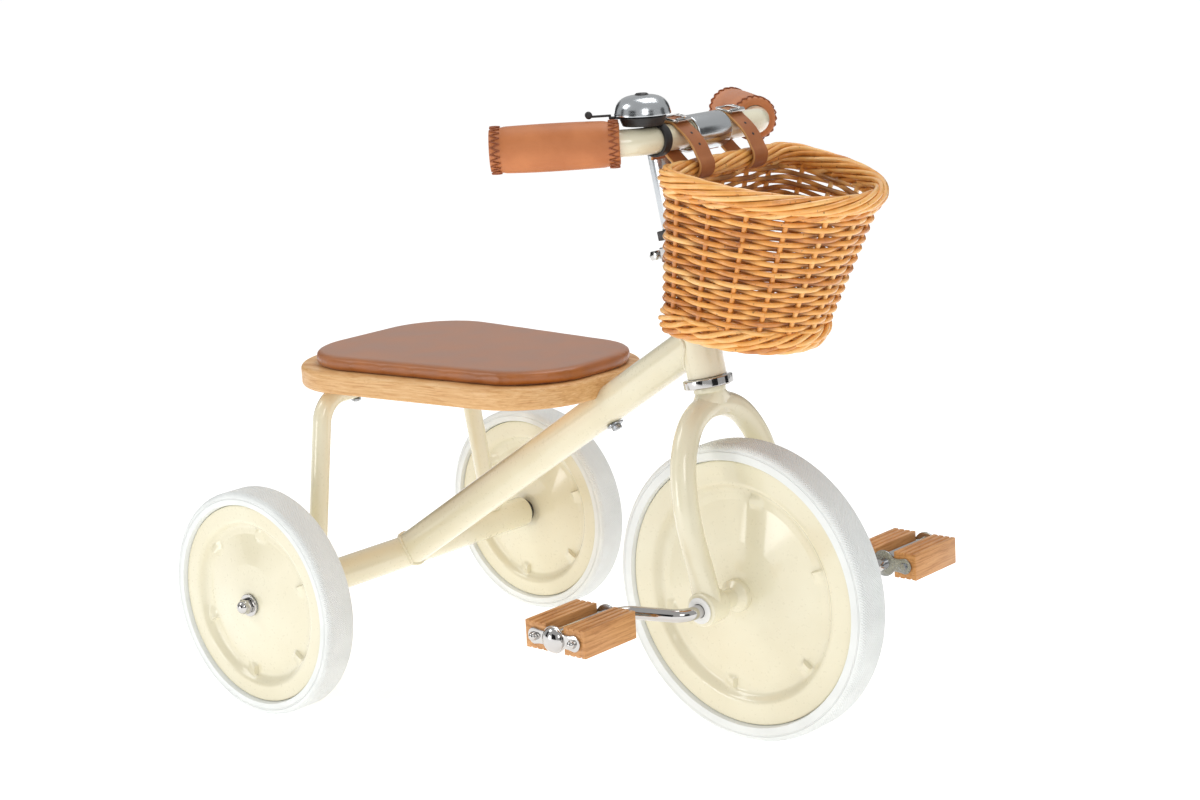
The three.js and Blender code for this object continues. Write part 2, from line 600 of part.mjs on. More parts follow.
const { wall, rimWide, rimHigh } = BASKET;
const rimShape = new THREE.ExtrudeGeometry(
  dee(BASKET.backHalfTop + rimWide - 5, BASKET.depthTop + rimWide - 5, -rimWide + 5),
  { depth: 2 * rimHigh - 10, steps: 1, curveSegments: 6, bevelEnabled: true, bevelThickness: 5,
    bevelSize: 5, bevelSegments: 1 }).translate(0, 0, BASKET.height - rimHigh + 5);
const rimHole = new THREE.ExtrudeGeometry(
  dee(BASKET.backHalfTop - rimWide, BASKET.depthTop - rimWide, rimWide),
  { depth: 40, steps: 1, curveSegments: 6, bevelEnabled: false })
  .translate(0, 0, BASKET.height - rimHigh - 1);
// The back is dented where it lies against the head tube, so the basket turns freely round it.
basket.updateMatrixWorld(true);
const roundHead = (radius) => toSteering(alongZ(radius, 240, 420, 24))
  .applyMatrix4(basket.matrixWorld.clone().invert());
const hollow = cut(
  widened(BASKET.backHalfBottom - wall / 2, BASKET.depthBottom - wall / 2, wall / 2, 2,
    BASKET.height + 30), roundHead(BASKET.headRoom + wall));
const slot = (side) => box(30, STRAP.width + 2, 7.5, 0, side * STRAP.y, BASKET.height - 11.8);
add('basket', cut(
  join(widened(BASKET.backHalfBottom + wall / 2, BASKET.depthBottom + wall / 2, -wall / 2, -8,
    BASKET.height), rimShape),
  hollow, rimHole, slot(-1), slot(1), roundHead(BASKET.headRoom),
), WICKER, basket);

// ---------- straps ----------
// A loop pulled tight round two circles in the X-Z plane, as an outline.
function beltOutline(Outline, a, b, radiusA, radiusB) {
  const line = Math.atan2(b.z - a.z, b.x - a.x);
  const reach = Math.hypot(b.x - a.x, b.z - a.z);
  const lean = Math.acos((radiusA - radiusB) / reach);
  return new Outline()
    .absarc(a.x, a.z, radiusA, line + lean, line - lean + Math.PI * 2, false)
    .absarc(b.x, b.z, radiusB, line - lean, line + lean, false);
}

const barWorld = v3(BAR.forward, 0, BAR.height).applyAxisAngle(v3(0, 1, 0), -HEAD_TILT)
  .add(steering.position);
const rimWorld = v3(0, 0, BASKET.height).applyAxisAngle(v3(0, 1, 0), BASKET_TILT)
  .add(basket.position);
const barReach = BAR.radius + 0.5;
const rimReach = 10.2;
const BUCKLE_TILT = THREE.MathUtils.degToRad(12);
for (const [name, side] of [['left', 1], ['right', -1]]) {
  const { y, width, thick } = STRAP;
  const outline = beltOutline(THREE.Shape, barWorld, rimWorld, barReach + thick, rimReach + thick);
  outline.holes.push(beltOutline(THREE.Path, barWorld, rimWorld, barReach, rimReach));
  const strap = new THREE.ExtrudeGeometry(outline,
    { depth: width, steps: 1, curveSegments: 6, bevelEnabled: false })
    .rotateX(Math.PI / 2).translate(0, side * y + width / 2, 0);
  add(`strap_${name}`, strap, STRAP_TAN);

  // The buckle lies on the strap where it passes over the bar.
  const frame = cut(box(20, width + 5, 2.6), box(14, width - 1, 6));
  const buckle = add(`buckle_${name}`, join(frame, box(20, 2.6, 2.6)), STEEL);
  const normal = v3(Math.sin(BUCKLE_TILT), 0, Math.cos(BUCKLE_TILT));
  buckle.position.copy(barWorld).addScaledVector(normal, barReach + thick + GAP + 1.3)
    .add(v3(0, side * y, 0));
  buckle.rotation.y = BUCKLE_TILT;
}

// ---------- origin: on the ground, under the middle of the whole object ----------
tricycle.updateMatrixWorld(true);
const bounds = new THREE.Box3().setFromObject(tricycle, true);
tricycle.position.set(-(bounds.min.x + bounds.max.x) / 2, 0, -bounds.min.z);

export default tricycle;
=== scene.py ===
# %% [markdown]
# # A child's tricycle
# The CAD model gives every piece its place and size, and this lesson gives the pieces their
# looks. It loads the CAD model, makes the finishes, then the pieces from the ground up, and
# last the floor, the lamps and the camera. Sizes are in millimetres until a piece is placed.

# %% Load the CAD model
import json
import math
import random

import bmesh
import bpy
from mathutils import Matrix, Vector


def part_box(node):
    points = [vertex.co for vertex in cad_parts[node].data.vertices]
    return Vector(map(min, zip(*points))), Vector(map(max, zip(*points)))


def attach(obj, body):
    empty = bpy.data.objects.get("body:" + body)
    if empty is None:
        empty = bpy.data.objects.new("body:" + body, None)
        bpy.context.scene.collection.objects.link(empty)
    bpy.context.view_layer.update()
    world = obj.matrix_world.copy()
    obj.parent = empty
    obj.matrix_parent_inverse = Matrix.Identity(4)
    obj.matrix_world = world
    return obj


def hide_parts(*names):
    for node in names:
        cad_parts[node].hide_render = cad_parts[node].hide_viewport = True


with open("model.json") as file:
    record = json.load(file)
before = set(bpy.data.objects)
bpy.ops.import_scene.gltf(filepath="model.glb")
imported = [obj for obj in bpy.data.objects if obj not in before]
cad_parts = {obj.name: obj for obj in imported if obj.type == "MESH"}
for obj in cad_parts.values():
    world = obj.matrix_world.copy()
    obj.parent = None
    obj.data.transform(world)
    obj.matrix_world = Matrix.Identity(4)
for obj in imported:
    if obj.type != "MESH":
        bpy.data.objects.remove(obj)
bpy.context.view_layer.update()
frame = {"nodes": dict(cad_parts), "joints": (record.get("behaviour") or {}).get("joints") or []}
MM = 0.001

# %% Find the axles and the steering axis
def middle_of(node):
    low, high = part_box(node)
    return (low + high) / 2


FRONT_AXLE = middle_of("front_tyre")
REAR_AXLE = middle_of("axle_tube")
steer = next(joint for joint in frame["joints"] if joint["name"] == "steer")
HEAD_TILT = math.atan2(-steer["axis"][0], steer["axis"][2])

ALONG_Y = Matrix.Rotation(-math.pi / 2, 4, "X")     # a turned piece's axis, from Z to Y


def shift(x=0.0, y=0.0, z=0.0):
    """A move in millimetres, as a matrix in metres."""
    return Matrix.Translation(Vector((x, y, z)) * MM)


FROM_REAR = Matrix.Translation((REAR_AXLE.x, 0, 0))
STEERING = Matrix.Translation(FRONT_AXLE) @ Matrix.Rotation(-HEAD_TILT, 4, "Y")
BAR = STEERING @ shift(52.5, 0, 447.5) @ Matrix.Rotation(HEAD_TILT, 4, "Y")
print("front axle", FRONT_AXLE, "tilt", round(math.degrees(HEAD_TILT), 2))

# %% [markdown]
# ## Finishes
# A finish is a small graph of nodes ending in one Principled shader. Most of what the eye
# reads as a material is small: the change in gloss, the relief and the drift in colour.

# %% Colours and nodes
def colour(code):
    """The linear colour of an sRGB hex code."""
    channels = [int(code[i:i + 2], 16) / 255 for i in (0, 2, 4)]
    return tuple(c / 12.92 if c <= 0.04045 else ((c + 0.055) / 1.055) ** 2.4
                 for c in channels) + (1.0,)


def add_node(tree, kind, inputs=None, stops=(), **settings):
    """One node with its settings, and its inputs as values or as other nodes' sockets. A
    colour ramp's `stops` are (place, hex) pairs."""
    node = tree.nodes.new(kind)
    for key, value in settings.items():
        setattr(node, key, value)
    for key, value in (inputs or {}).items():
        if isinstance(value, bpy.types.NodeSocket):
            tree.links.new(value, node.inputs[key])
        else:
            node.inputs[key].default_value = value
    if stops:
        elements = node.color_ramp.elements
        for element, (place, code) in zip(elements, (stops[0], stops[-1])):
            element.position, element.color = place, colour(code)
        for place, code in stops[1:-1]:
            elements.new(place).color = colour(code)
    return node


def start_material(name, slot, **constants):
    """A material with a Principled shader, and the record's slot that it belongs to."""
    material = bpy.data.materials.new(name)
    material.use_nodes = True
    material["record_slot"] = slot
    tree = material.node_tree
    tree.nodes.clear()
    shader = add_node(tree, "ShaderNodeBsdfPrincipled",
                      {key.replace("_", " "): value for key, value in constants.items()})
    add_node(tree, "ShaderNodeOutputMaterial", {"Surface": shader.outputs[0]})
    where = add_node(tree, "ShaderNodeTexCoord").outputs["Object"]
    return material, tree, shader, where


def connect(tree, shader, **sockets):
    """Lead other nodes' outputs to the shader's own sockets."""
    for key, socket in sockets.items():
        tree.links.new(socket, shader.inputs[key.replace("_", " ")])


# A Map Range's inputs after its value: the two ends it reads, and the two it gives.
FROM_LOW, FROM_HIGH, TO_LOW, TO_HIGH = 1, 2, 3, 4
NOISE_ENDS = {FROM_LOW: 0.3, FROM_HIGH: 0.7}        # nearly all of a noise lies between these

# %% [markdown]
# The frame and wheel discs are steel with a cream powder coat. The powder melts into a thick
# glossy skin with a faint orange peel a few millimetres across.

# %% Paint
PAINT, tree, shader, where = start_material(
    "cream powder coat on steel", "cream_paint", Coat_Weight=0.9, Coat_Roughness=0.07)
drift = add_node(tree, "ShaderNodeTexNoise", {"Vector": where, "Scale": 14.0, "Detail": 3.0})
cream = add_node(tree, "ShaderNodeValToRGB", {"Fac": drift.outputs["Fac"]},
                 stops=[(0.3, "e6dec0"), (0.7, "ece6cb")])
peel = add_node(tree, "ShaderNodeTexNoise", {"Vector": where, "Scale": 300.0, "Detail": 1.0})
gloss = add_node(tree, "ShaderNodeMapRange", {
    "Value": peel.outputs["Fac"], **NOISE_ENDS, TO_LOW: 0.27, TO_HIGH: 0.33})
bump = add_node(tree, "ShaderNodeBump", {
    "Height": peel.outputs["Fac"], "Distance": 0.02 * MM, "Strength": 0.2})
connect(tree, shader, Base_Color=cream.outputs[0], Roughness=gloss.outputs[0],
        Normal=bump.outputs[0])

# %% [markdown]
# Bright metal is of three kinds: chrome plate, nearly a mirror with a few fine hairlines, the
# same plate brushed dull on the bell and stem, and zinc on the bolts, greyer and satin.

# %% Metals
def metal(name, slot, code, rough_low, rough_high, scale):
    material, tree, shader, where = start_material(
        name, slot, Base_Color=colour(code), Metallic=1.0)
    haze = add_node(tree, "ShaderNodeTexNoise", {"Vector": where, "Scale": scale, "Detail": 4.0})
    gloss = add_node(tree, "ShaderNodeMapRange", {
        "Value": haze.outputs["Fac"], **NOISE_ENDS, TO_LOW: rough_low, TO_HIGH: rough_high})
    bump = add_node(tree, "ShaderNodeBump", {
        "Height": haze.outputs["Fac"], "Distance": 0.01 * MM, "Strength": 0.15})
    connect(tree, shader, Roughness=gloss.outputs[0], Normal=bump.outputs[0])
    return material


CHROME = metal("chrome plate", "chrome", "c6c4c2", 0.05, 0.12, 260.0)
BRUSHED = metal("brushed chrome plate", "chrome", "caced1", 0.19, 0.25, 120.0)
ZINC = metal("bright zinc on steel", "steel", "a9acb0", 0.22, 0.38, 600.0)

# %% [markdown]
# The tyres are white foamed rubber with a fine cross hatch moulded into the tread, and one
# thin line round each shoulder. The hatch is drawn 2.6 mm apart, a little coarser than it is.

# %% Tyre rubber
HATCH = 2.6 * MM
LUGS = 330.0                # radians of hatch for each radian of wheel
SHOULDER = 6.5 * MM         # the shoulder line, in from the tread


def tyre_rubber(name, centre, reach):
    """Rubber for one tyre, whose tread is `reach` from the centre, in metres."""
    material, tree, shader, where = start_material(name, "tyre", Roughness=0.62)
    local = add_node(tree, "ShaderNodeVectorMath", {0: where, 1: centre}, operation="SUBTRACT")
    axes = add_node(tree, "ShaderNodeSeparateXYZ", {0: local.outputs[0]})
    known = {"x": axes.outputs["X"], "y": axes.outputs["Y"], "z": axes.outputs["Z"]}
    for result, operation, *values in (
            ("ring phase", "MULTIPLY", "y", 2 * math.pi / HATCH), ("rings", "SINE", "ring phase"),
            ("around", "ARCTAN2", "z", "x"), ("lug phase", "MULTIPLY", "around", LUGS),
            ("lugs", "SINE", "lug phase"), ("hatch", "MULTIPLY", "rings", "lugs"),
            ("flat", "MULTIPLY", "x", "x"), ("upright", "MULTIPLY", "z", "z"),
            ("square", "ADD", "flat", "upright"), ("radius", "SQRT", "square"),
            ("inside", "SUBTRACT", "radius", reach - SHOULDER),
            ("off line", "ABSOLUTE", "inside")):
        inputs = {i: known.get(value, value) for i, value in enumerate(values)}
        known[result] = add_node(tree, "ShaderNodeMath", inputs, operation=operation).outputs[0]
    tread = add_node(tree, "ShaderNodeMapRange", {
        "Value": known["radius"], FROM_LOW: reach - 0.006, FROM_HIGH: reach - 0.0015,
        TO_LOW: 0.0, TO_HIGH: 1.0})
    line = add_node(tree, "ShaderNodeMapRange", {
        "Value": known["off line"], FROM_LOW: 0.0003, FROM_HIGH: 0.0009,
        TO_LOW: -1.6, TO_HIGH: 0.0})
    raised = add_node(tree, "ShaderNodeMath", {0: known["hatch"], 1: tread.outputs[0]},
                      operation="MULTIPLY")
    height = add_node(tree, "ShaderNodeMath", {0: raised.outputs[0], 1: line.outputs[0]},
                      operation="ADD")
    dust = add_node(tree, "ShaderNodeTexNoise", {"Vector": where, "Scale": 30.0, "Detail": 5.0})
    white = add_node(tree, "ShaderNodeValToRGB", {"Fac": dust.outputs["Fac"]},
                     stops=[(0.3, "e9ecea"), (0.7, "f2f5f3")])
    bump = add_node(tree, "ShaderNodeBump", {
        "Height": height.outputs[0], "Distance": 0.45 * MM, "Strength": 0.9})
    connect(tree, shader, Base_Color=white.outputs[0], Normal=bump.outputs[0])
    return material

# %% [markdown]
# Two woods: the seat board is lacquered beech, pale with the short dark flecks that beech
# shows on its side grain, and the pedal blocks are the same wood oiled to a warmer brown.
# The grain runs along one axis, so the noise is stretched along it.

# %% Wood
def stretched(grain_axis, fine_mm, along_mm, face_mm):
    """A noise's scale for a board: sizes across the grain, along it and over its face."""
    scale = [1000 / fine_mm] * 3
    scale[grain_axis] = 1000 / along_mm
    scale[1 - grain_axis] = 1000 / face_mm      # boards are sawn flat to the rings
    return scale


def wood(name, slot, pale, mid, dark, grain_axis, ring_mm):
    material, tree, shader, where = start_material(name, slot, Coat_Weight=0.15)
    along = add_node(tree, "ShaderNodeMapping", {
        "Vector": where, "Scale": stretched(grain_axis, ring_mm, ring_mm * 22, ring_mm * 6)})
    grain = add_node(tree, "ShaderNodeTexNoise",
                     {"Vector": along.outputs[0], "Scale": 1.0, "Detail": 6.0,
                      "Roughness": 0.62, "Distortion": 0.35})
    flecks_at = add_node(tree, "ShaderNodeMapping", {
        "Vector": where, "Scale": stretched(grain_axis, 1.1, 7.0, 4.0)})
    flecks = add_node(tree, "ShaderNodeTexNoise",
                      {"Vector": flecks_at.outputs[0], "Scale": 1.0, "Detail": 2.0})
    fleck = add_node(tree, "ShaderNodeMapRange", {
        "Value": flecks.outputs["Fac"], FROM_LOW: 0.61, FROM_HIGH: 0.70,
        TO_LOW: 0.0, TO_HIGH: 0.5})
    base = add_node(tree, "ShaderNodeValToRGB", {"Fac": grain.outputs["Fac"]},
                    stops=[(0.30, dark), (0.48, mid), (0.68, pale)])
    mix = add_node(tree, "ShaderNodeMix", {
        "Factor": fleck.outputs[0], 6: base.outputs[0], 7: colour(dark)}, data_type="RGBA")
    gloss = add_node(tree, "ShaderNodeMapRange", {
        "Value": grain.outputs["Fac"], **NOISE_ENDS, TO_LOW: 0.56, TO_HIGH: 0.42})
    bump = add_node(tree, "ShaderNodeBump", {
        "Height": grain.outputs["Fac"], "Distance": 0.12 * MM, "Strength": 0.5})
    connect(tree, shader, Base_Color=mix.outputs[2], Roughness=gloss.outputs[0],
            Normal=bump.outputs[0])
    return material


BEECH = wood("lacquered beech", "beech", "e9c08a", "dcab70", "c58d52", 0, 1.5)
PEDAL_BEECH = wood("oiled beech", "pedal_beech", "dca368", "cb9055", "a86c38", 1, 2.4)

# %% [markdown]
# Three pieces of leather, all vegetable tanned: the cushion's is smooth with a soft sheen,
# the grips' is a little redder, and the straps' has a paler cut edge. Their grain is a net of
# cells about a millimetre wide, with the creases between the cells pressed in.

# %% Leather
def leather(name, slot, pale, dark, cell_mm, depth_mm, sheen, coat=0.0):
    material, tree, shader, where = start_material(
        name, slot, Sheen_Weight=sheen, Sheen_Roughness=0.35, Coat_Weight=coat,
        Coat_Roughness=0.35)
    cells = add_node(tree, "ShaderNodeTexVoronoi",
                     {"Vector": where, "Scale": 1000 / cell_mm}, feature="DISTANCE_TO_EDGE")
    blotch = add_node(tree, "ShaderNodeTexNoise",
                      {"Vector": where, "Scale": 28.0, "Detail": 5.0})
    crease = add_node(tree, "ShaderNodeMapRange", {
        "Value": cells.outputs["Distance"], FROM_LOW: 0.0, FROM_HIGH: 0.18,
        TO_LOW: 0.0, TO_HIGH: 1.0})
    tan = add_node(tree, "ShaderNodeValToRGB", {"Fac": blotch.outputs["Fac"]},
                   stops=[(0.3, dark), (0.7, pale)])
    gloss = add_node(tree, "ShaderNodeMapRange", {
        "Value": blotch.outputs["Fac"], **NOISE_ENDS, TO_LOW: 0.42, TO_HIGH: 0.54})
    bump = add_node(tree, "ShaderNodeBump", {
        "Height": crease.outputs[0], "Distance": depth_mm * MM, "Strength": 0.35})
    connect(tree, shader, Base_Color=tan.outputs[0], Roughness=gloss.outputs[0],
            Normal=bump.outputs[0])
    return material


CUSHION_LEATHER = leather("smooth tan leather", "tan_leather", "ab6014", "96520d", 1.3, 0.08,
                          0.2, 0.8)
GRIP_LEATHER = leather("grip leather", "tan_leather", "cb7e4a", "b76b39", 1.2, 0.09, 0.15)
STRAP_LEATHER = leather("strap leather", "strap_leather", "b5713f", "9c5a2d", 1.0, 0.08, 0.1)
STITCH = leather("leather lace", "tan_leather", "a2592c", "8a4722", 0.7, 0.08, 0.05)
EDGE = leather("cut edge of leather", "strap_leather", "dba667", "c48c50", 0.8, 0.1, 0.0)

# %% [markdown]
# Willow is what the basket is woven from. Each rod has its own tone, from honey to orange
# brown, so the weave gives every rod a number that the colour is read from. The rods carry
# thick varnish, which gives the sharp lights along them. Where a rod dips behind a stake, its
# colour is darkened towards brown: painted shade for that recess, read from the stake's place.

# %% Willow
WILLOW, tree, shader, where = start_material(
    "varnished willow", "wicker", Coat_Weight=0.8, Coat_Roughness=0.14)
tint = add_node(tree, "ShaderNodeAttribute", attribute_name="rod_tint")
mottle = add_node(tree, "ShaderNodeTexNoise", {"Vector": where, "Scale": 90.0, "Detail": 5.0})
shade = add_node(tree, "ShaderNodeMath", {0: tint.outputs["Fac"], 1: mottle.outputs["Fac"]},
                 operation="ADD")
share = add_node(tree, "ShaderNodeMapRange", {
    "Value": shade.outputs[0], FROM_LOW: 0.35, FROM_HIGH: 1.65, TO_LOW: 0.0, TO_HIGH: 1.0})
base = add_node(tree, "ShaderNodeValToRGB", {"Fac": share.outputs[0]},
                stops=[(0.0, "bc6f2a"), (0.35, "e89e46"), (0.65, "f7b65f"), (1.0, "fbd08c")])
bark = add_node(tree, "ShaderNodeTexNoise", {"Vector": where, "Scale": 260.0, "Detail": 3.0})
scar = add_node(tree, "ShaderNodeMapRange", {
    "Value": bark.outputs["Fac"], FROM_LOW: 0.66, FROM_HIGH: 0.72, TO_LOW: 0.0, TO_HIGH: 0.7})
# Painted shade: where a rod dips behind a stake, its colour is mixed towards dark brown 6e3814.
turn = add_node(tree, "ShaderNodeAttribute", attribute_name="stake_phase")
behind = add_node(tree, "ShaderNodeMath", {0: turn.outputs["Fac"]}, operation="COSINE")
painted_shade = add_node(tree, "ShaderNodeMapRange", {
    "Value": behind.outputs[0], FROM_LOW: -0.8, FROM_HIGH: 0.3, TO_LOW: 0.75, TO_HIGH: 0.0})
scarred = add_node(tree, "ShaderNodeMix", {
    "Factor": scar.outputs[0], 6: base.outputs[0], 7: colour("7a4119")}, data_type="RGBA")
with_painted_shade = add_node(tree, "ShaderNodeMix", {
    "Factor": painted_shade.outputs[0], 6: scarred.outputs[2], 7: colour("6e3814")}, data_type="RGBA")
gloss = add_node(tree, "ShaderNodeMapRange", {
    "Value": mottle.outputs["Fac"], **NOISE_ENDS, TO_LOW: 0.34, TO_HIGH: 0.5})
bump = add_node(tree, "ShaderNodeBump", {
    "Height": bark.outputs["Fac"], "Distance": 0.25 * MM, "Strength": 0.5})
connect(tree, shader, Base_Color=with_painted_shade.outputs[2], Roughness=gloss.outputs[0],
        Normal=bump.outputs[0])

# %% [markdown]
# The last finishes are moulded plastics: black for the bell's base and the bushes, and white
# nylon for the bearings that the crank turns in.

# %% Plastics
def plastic(name, slot, code, rough):
    material, tree, shader, where = start_material(name, slot, Base_Color=colour(code))
    spark = add_node(tree, "ShaderNodeTexNoise", {"Vector": where, "Scale": 900.0, "Detail": 2.0})
    gloss = add_node(tree, "ShaderNodeMapRange", {
        "Value": spark.outputs["Fac"], **NOISE_ENDS, TO_LOW: rough - 0.07,
        TO_HIGH: rough + 0.07})
    bump = add_node(tree, "ShaderNodeBump", {
        "Height": spark.outputs["Fac"], "Distance": 0.04 * MM, "Strength": 0.4})
    connect(tree, shader, Roughness=gloss.outputs[0], Normal=bump.outputs[0])
    return material


BLACK = plastic("black moulded nylon", "black_plastic", "262424", 0.42)
NYLON = plastic("white nylon", "white_nylon", "f1f1ee", 0.45)
print(len(bpy.data.materials), "finishes")

# %% [markdown]
# ## Ways of making a piece
# Nearly every piece is one of four kinds: turned round an axis like a wheel, swept along a
# path like a tube, cut from a slab like the seat board, or a box with eased edges.

# %% Place a mesh in the model
def piece(name, parts, material, body, stands_for=(), place=Matrix(), smooth=32, extra=()):
    """One object from (vertices in mm, faces) parts, riding on a body, with its place in
    its mesh. `extra` materials fill the slots that the faces' numbers point to."""
    shape = bmesh.new()
    for part in parts:
        points, faces = part[:2]
        numbers = part[2] if len(part) > 2 else [0] * len(faces)
        made = [shape.verts.new(Vector(p)) for p in points]
        skin = [shape.faces.new([made[i] for i in face]) for face in faces]
        for face, number in zip(skin, numbers):
            face.material_index = number
        bmesh.ops.recalc_face_normals(shape, faces=skin)
        if sum(f.normal.dot(f.calc_center_median()) * f.calc_area() for f in skin) < 0:
            bmesh.ops.reverse_faces(shape, faces=skin)      # a negative volume is inside out
    mesh = bpy.data.meshes.new(name)
    shape.to_mesh(mesh)
    shape.free()
    mesh.transform(place @ Matrix.Scale(MM, 4))
    mesh.shade_smooth()
    mesh.set_sharp_from_angle(angle=math.radians(smooth))
    for m in (material, *extra):
        mesh.materials.append(m)
    made = bpy.data.objects.new(name, mesh)
    bpy.context.scene.collection.objects.link(made)
    return declare(made, body, stands_for)


def declare(made, body, stands_for):
    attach(made, body)
    if stands_for:
        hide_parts(*stands_for)
    return made


def moved(part, matrix):
    """A part turned or shifted by a matrix whose moves are in metres."""
    lengths = Matrix.Scale(1 / MM, 4) @ matrix @ Matrix.Scale(MM, 4)
    return ([lengths @ Vector(p) for p in part[0]],) + tuple(part[1:])

# %% Round the corners of a line
def rounded(corners, radius, steps=8, closed=False):
    """A line with each corner turned into an arc, in two or three dimensions."""
    corners = [Vector(c).to_3d() for c in corners]
    line = []
    for i, corner in enumerate(corners):
        if not closed and i in (0, len(corners) - 1):
            line.append(corner)
            continue
        a, b = corners[i - 1] - corner, corners[(i + 1) % len(corners)] - corner
        room = 0.49 * min(a.length, b.length)
        a.normalize(), b.normalize()
        half = a.angle(b) / 2
        turn = math.pi - 2 * half
        if turn < 1e-3:
            line.append(corner)
            continue
        reach = min(radius / math.tan(half), room)
        middle = corner + (a + b).normalized() * (reach / math.cos(half))
        start, end = corner + a * reach - middle, corner + b * reach - middle
        for k in range(steps + 1):
            t = k / steps
            line.append(middle + (start * math.sin((1 - t) * turn)
                                  + end * math.sin(t * turn)) / math.sin(turn))
    return line

# %% Turn a profile
def turned(profile, sides=96, lift=None):
    """A closed profile of (radius, height) turned round Z. `lift(radius, angle)` raises a
    point, for what is pressed into a disc."""
    on_axis = [i for i, p in enumerate(profile) if abs(p[0]) < 1e-6]
    points, rows = [], []
    for i, p in enumerate(profile):
        if i in on_axis:
            rows.append([len(points)] * sides)
            points.append((0, 0, p[1]))
            continue
        rows.append(list(range(len(points), len(points) + sides)))
        for k in range(sides):
            a = 2 * math.pi * k / sides
            up = lift(p[0], a) if lift else 0
            points.append((p[0] * math.cos(a), p[0] * math.sin(a), p[1] + up))
    faces = []
    for i, row in enumerate(rows):
        after = rows[(i + 1) % len(rows)]
        for k in range(sides):
            n = (k + 1) % sides
            face = list(dict.fromkeys([row[k], row[n], after[n], after[k]]))
            if len(face) > 2:
                faces.append(face)
    return points, faces


def profile_round(corners, radius=1.0, steps=4):
    """A profile with its corners eased, apart from those on the axis."""
    line = rounded(corners, radius, steps, closed=True)
    if min(c[0] for c in corners) > 0:
        return [(p.x, p.y) for p in line]
    open_line = rounded(corners, radius, steps)
    return [(p.x, p.y) for p in open_line]

# %% Sweep a tube
def swept(path, radius, sides=32, closed=False):
    """A round rod along a path. `radius` is one number or one for each point."""
    path = [Vector(p) for p in path]
    count = len(path)
    radii = radius if isinstance(radius, (list, tuple)) else [radius] * count
    tangents = []
    for i in range(count):
        before = path[i - 1] if i or closed else path[0]
        after = path[(i + 1) % count] if i < count - 1 or closed else path[-1]
        tangents.append((after - before).normalized())
    side = tangents[0].orthogonal().normalized()
    points, faces = [], []
    for i in range(count):
        side = (side - tangents[i] * side.dot(tangents[i])).normalized()
        up = tangents[i].cross(side)
        for k in range(sides):
            a = 2 * math.pi * k / sides
            points.append(path[i] + (side * math.cos(a) + up * math.sin(a)) * radii[i])
    for i in range(count if closed else count - 1):
        offset = 0
        if closed and i == count - 1:       # the frame has turned a little on its way round
            start = points[0] - path[0]
            last = [(points[i * sides + k] - path[i]).dot(start) for k in range(sides)]
            offset = -max(range(sides), key=lambda k: last[k])
        j = (i + 1) % count
        for k in range(sides):
            n = (k + 1) % sides
            faces.append((i * sides + k, i * sides + n,
                          j * sides + (n + offset) % sides, j * sides + (k + offset) % sides))
    if not closed:
        faces.append(tuple(reversed(range(sides))))
        faces.append(tuple(range((count - 1) * sides, count * sides)))
    return points, faces

# %% Cut a slab
def slab(outline, bottom, top, edge, steps=5):
    """An outline raised from bottom to top, with round edges."""
    outline = [Vector((p[0], p[1])) for p in outline]
    count = len(outline)
    area = sum(outline[i - 1].x * p.y - p.x * outline[i - 1].y for i, p in enumerate(outline))
    turn = 1 if area > 0 else -1
    inward = []
    for i in range(count):
        along = (outline[(i + 1) % count] - outline[i - 1]).normalized()
        inward.append(Vector((-along.y, along.x)) * turn)
    rings = []
    for k in range(steps + 1):
        a = math.pi / 2 * k / steps
        rings.append((edge * (1 - math.sin(a)), bottom + edge * (1 - math.cos(a))))
    rings += [(inset, top + bottom - z) for inset, z in reversed(rings)]
    points = [(*(p + n * inset), z) for inset, z in rings for p, n in zip(outline, inward)]
    faces = [(r * count + k, r * count + (k + 1) % count,
              (r + 1) * count + (k + 1) % count, (r + 1) * count + k)
             for r in range(len(rings) - 1) for k in range(count)]
    faces += [tuple(range(count)), tuple(range((len(rings) - 1) * count, len(rings) * count))]
    return points, faces


def hexagon(width, bottom, top, edge=0.6):
    """A nut or bolt head: six sides with eased edges."""
    outline = rounded([(width * math.cos(k * math.pi / 3), width * math.sin(k * math.pi / 3))
                       for k in range(6)], edge, 2, closed=True)
    return slab(outline, bottom, top, edge, 2)


def acorn(width, bottom, height):
    """A hexagon with a dome on it."""
    dome = [(0, bottom)] + [(0.86 * width * math.cos(a), bottom + height * 0.5
                             + 0.8 * width * math.sin(a))
                            for a in (k * math.pi / 16 for k in range(8))]
    top = bottom + height * 0.5 + 0.8 * width
    return [hexagon(width, bottom, bottom + height * 0.55),
            turned([(0, bottom), (0.86 * width, bottom), *dome[1:], (0, top)], 32)]

# %% [markdown]
# ## The wheels
# Each wheel is a foamed tyre held between two pressed discs. The disc has a flat outer ring,
# then a step down into a groove, then a shallow cone that rises to the hub. Six small
# louvres stand in the groove, each a ramp that ends in a sharp lip. One profile is turned
# round the axle, and the louvres are raised on the turned points.

# %% Tyres
def tyre_profile(radius, rim, half):
    outside = rounded([(rim + 1.5, half), (radius, half), (radius, -half), (rim + 1.5, -half)],
                      13, 12)
    return [(p.x, p.y) for p in outside] + [(rim + 0.4, -half + 3), (rim + 0.4, half - 3)]


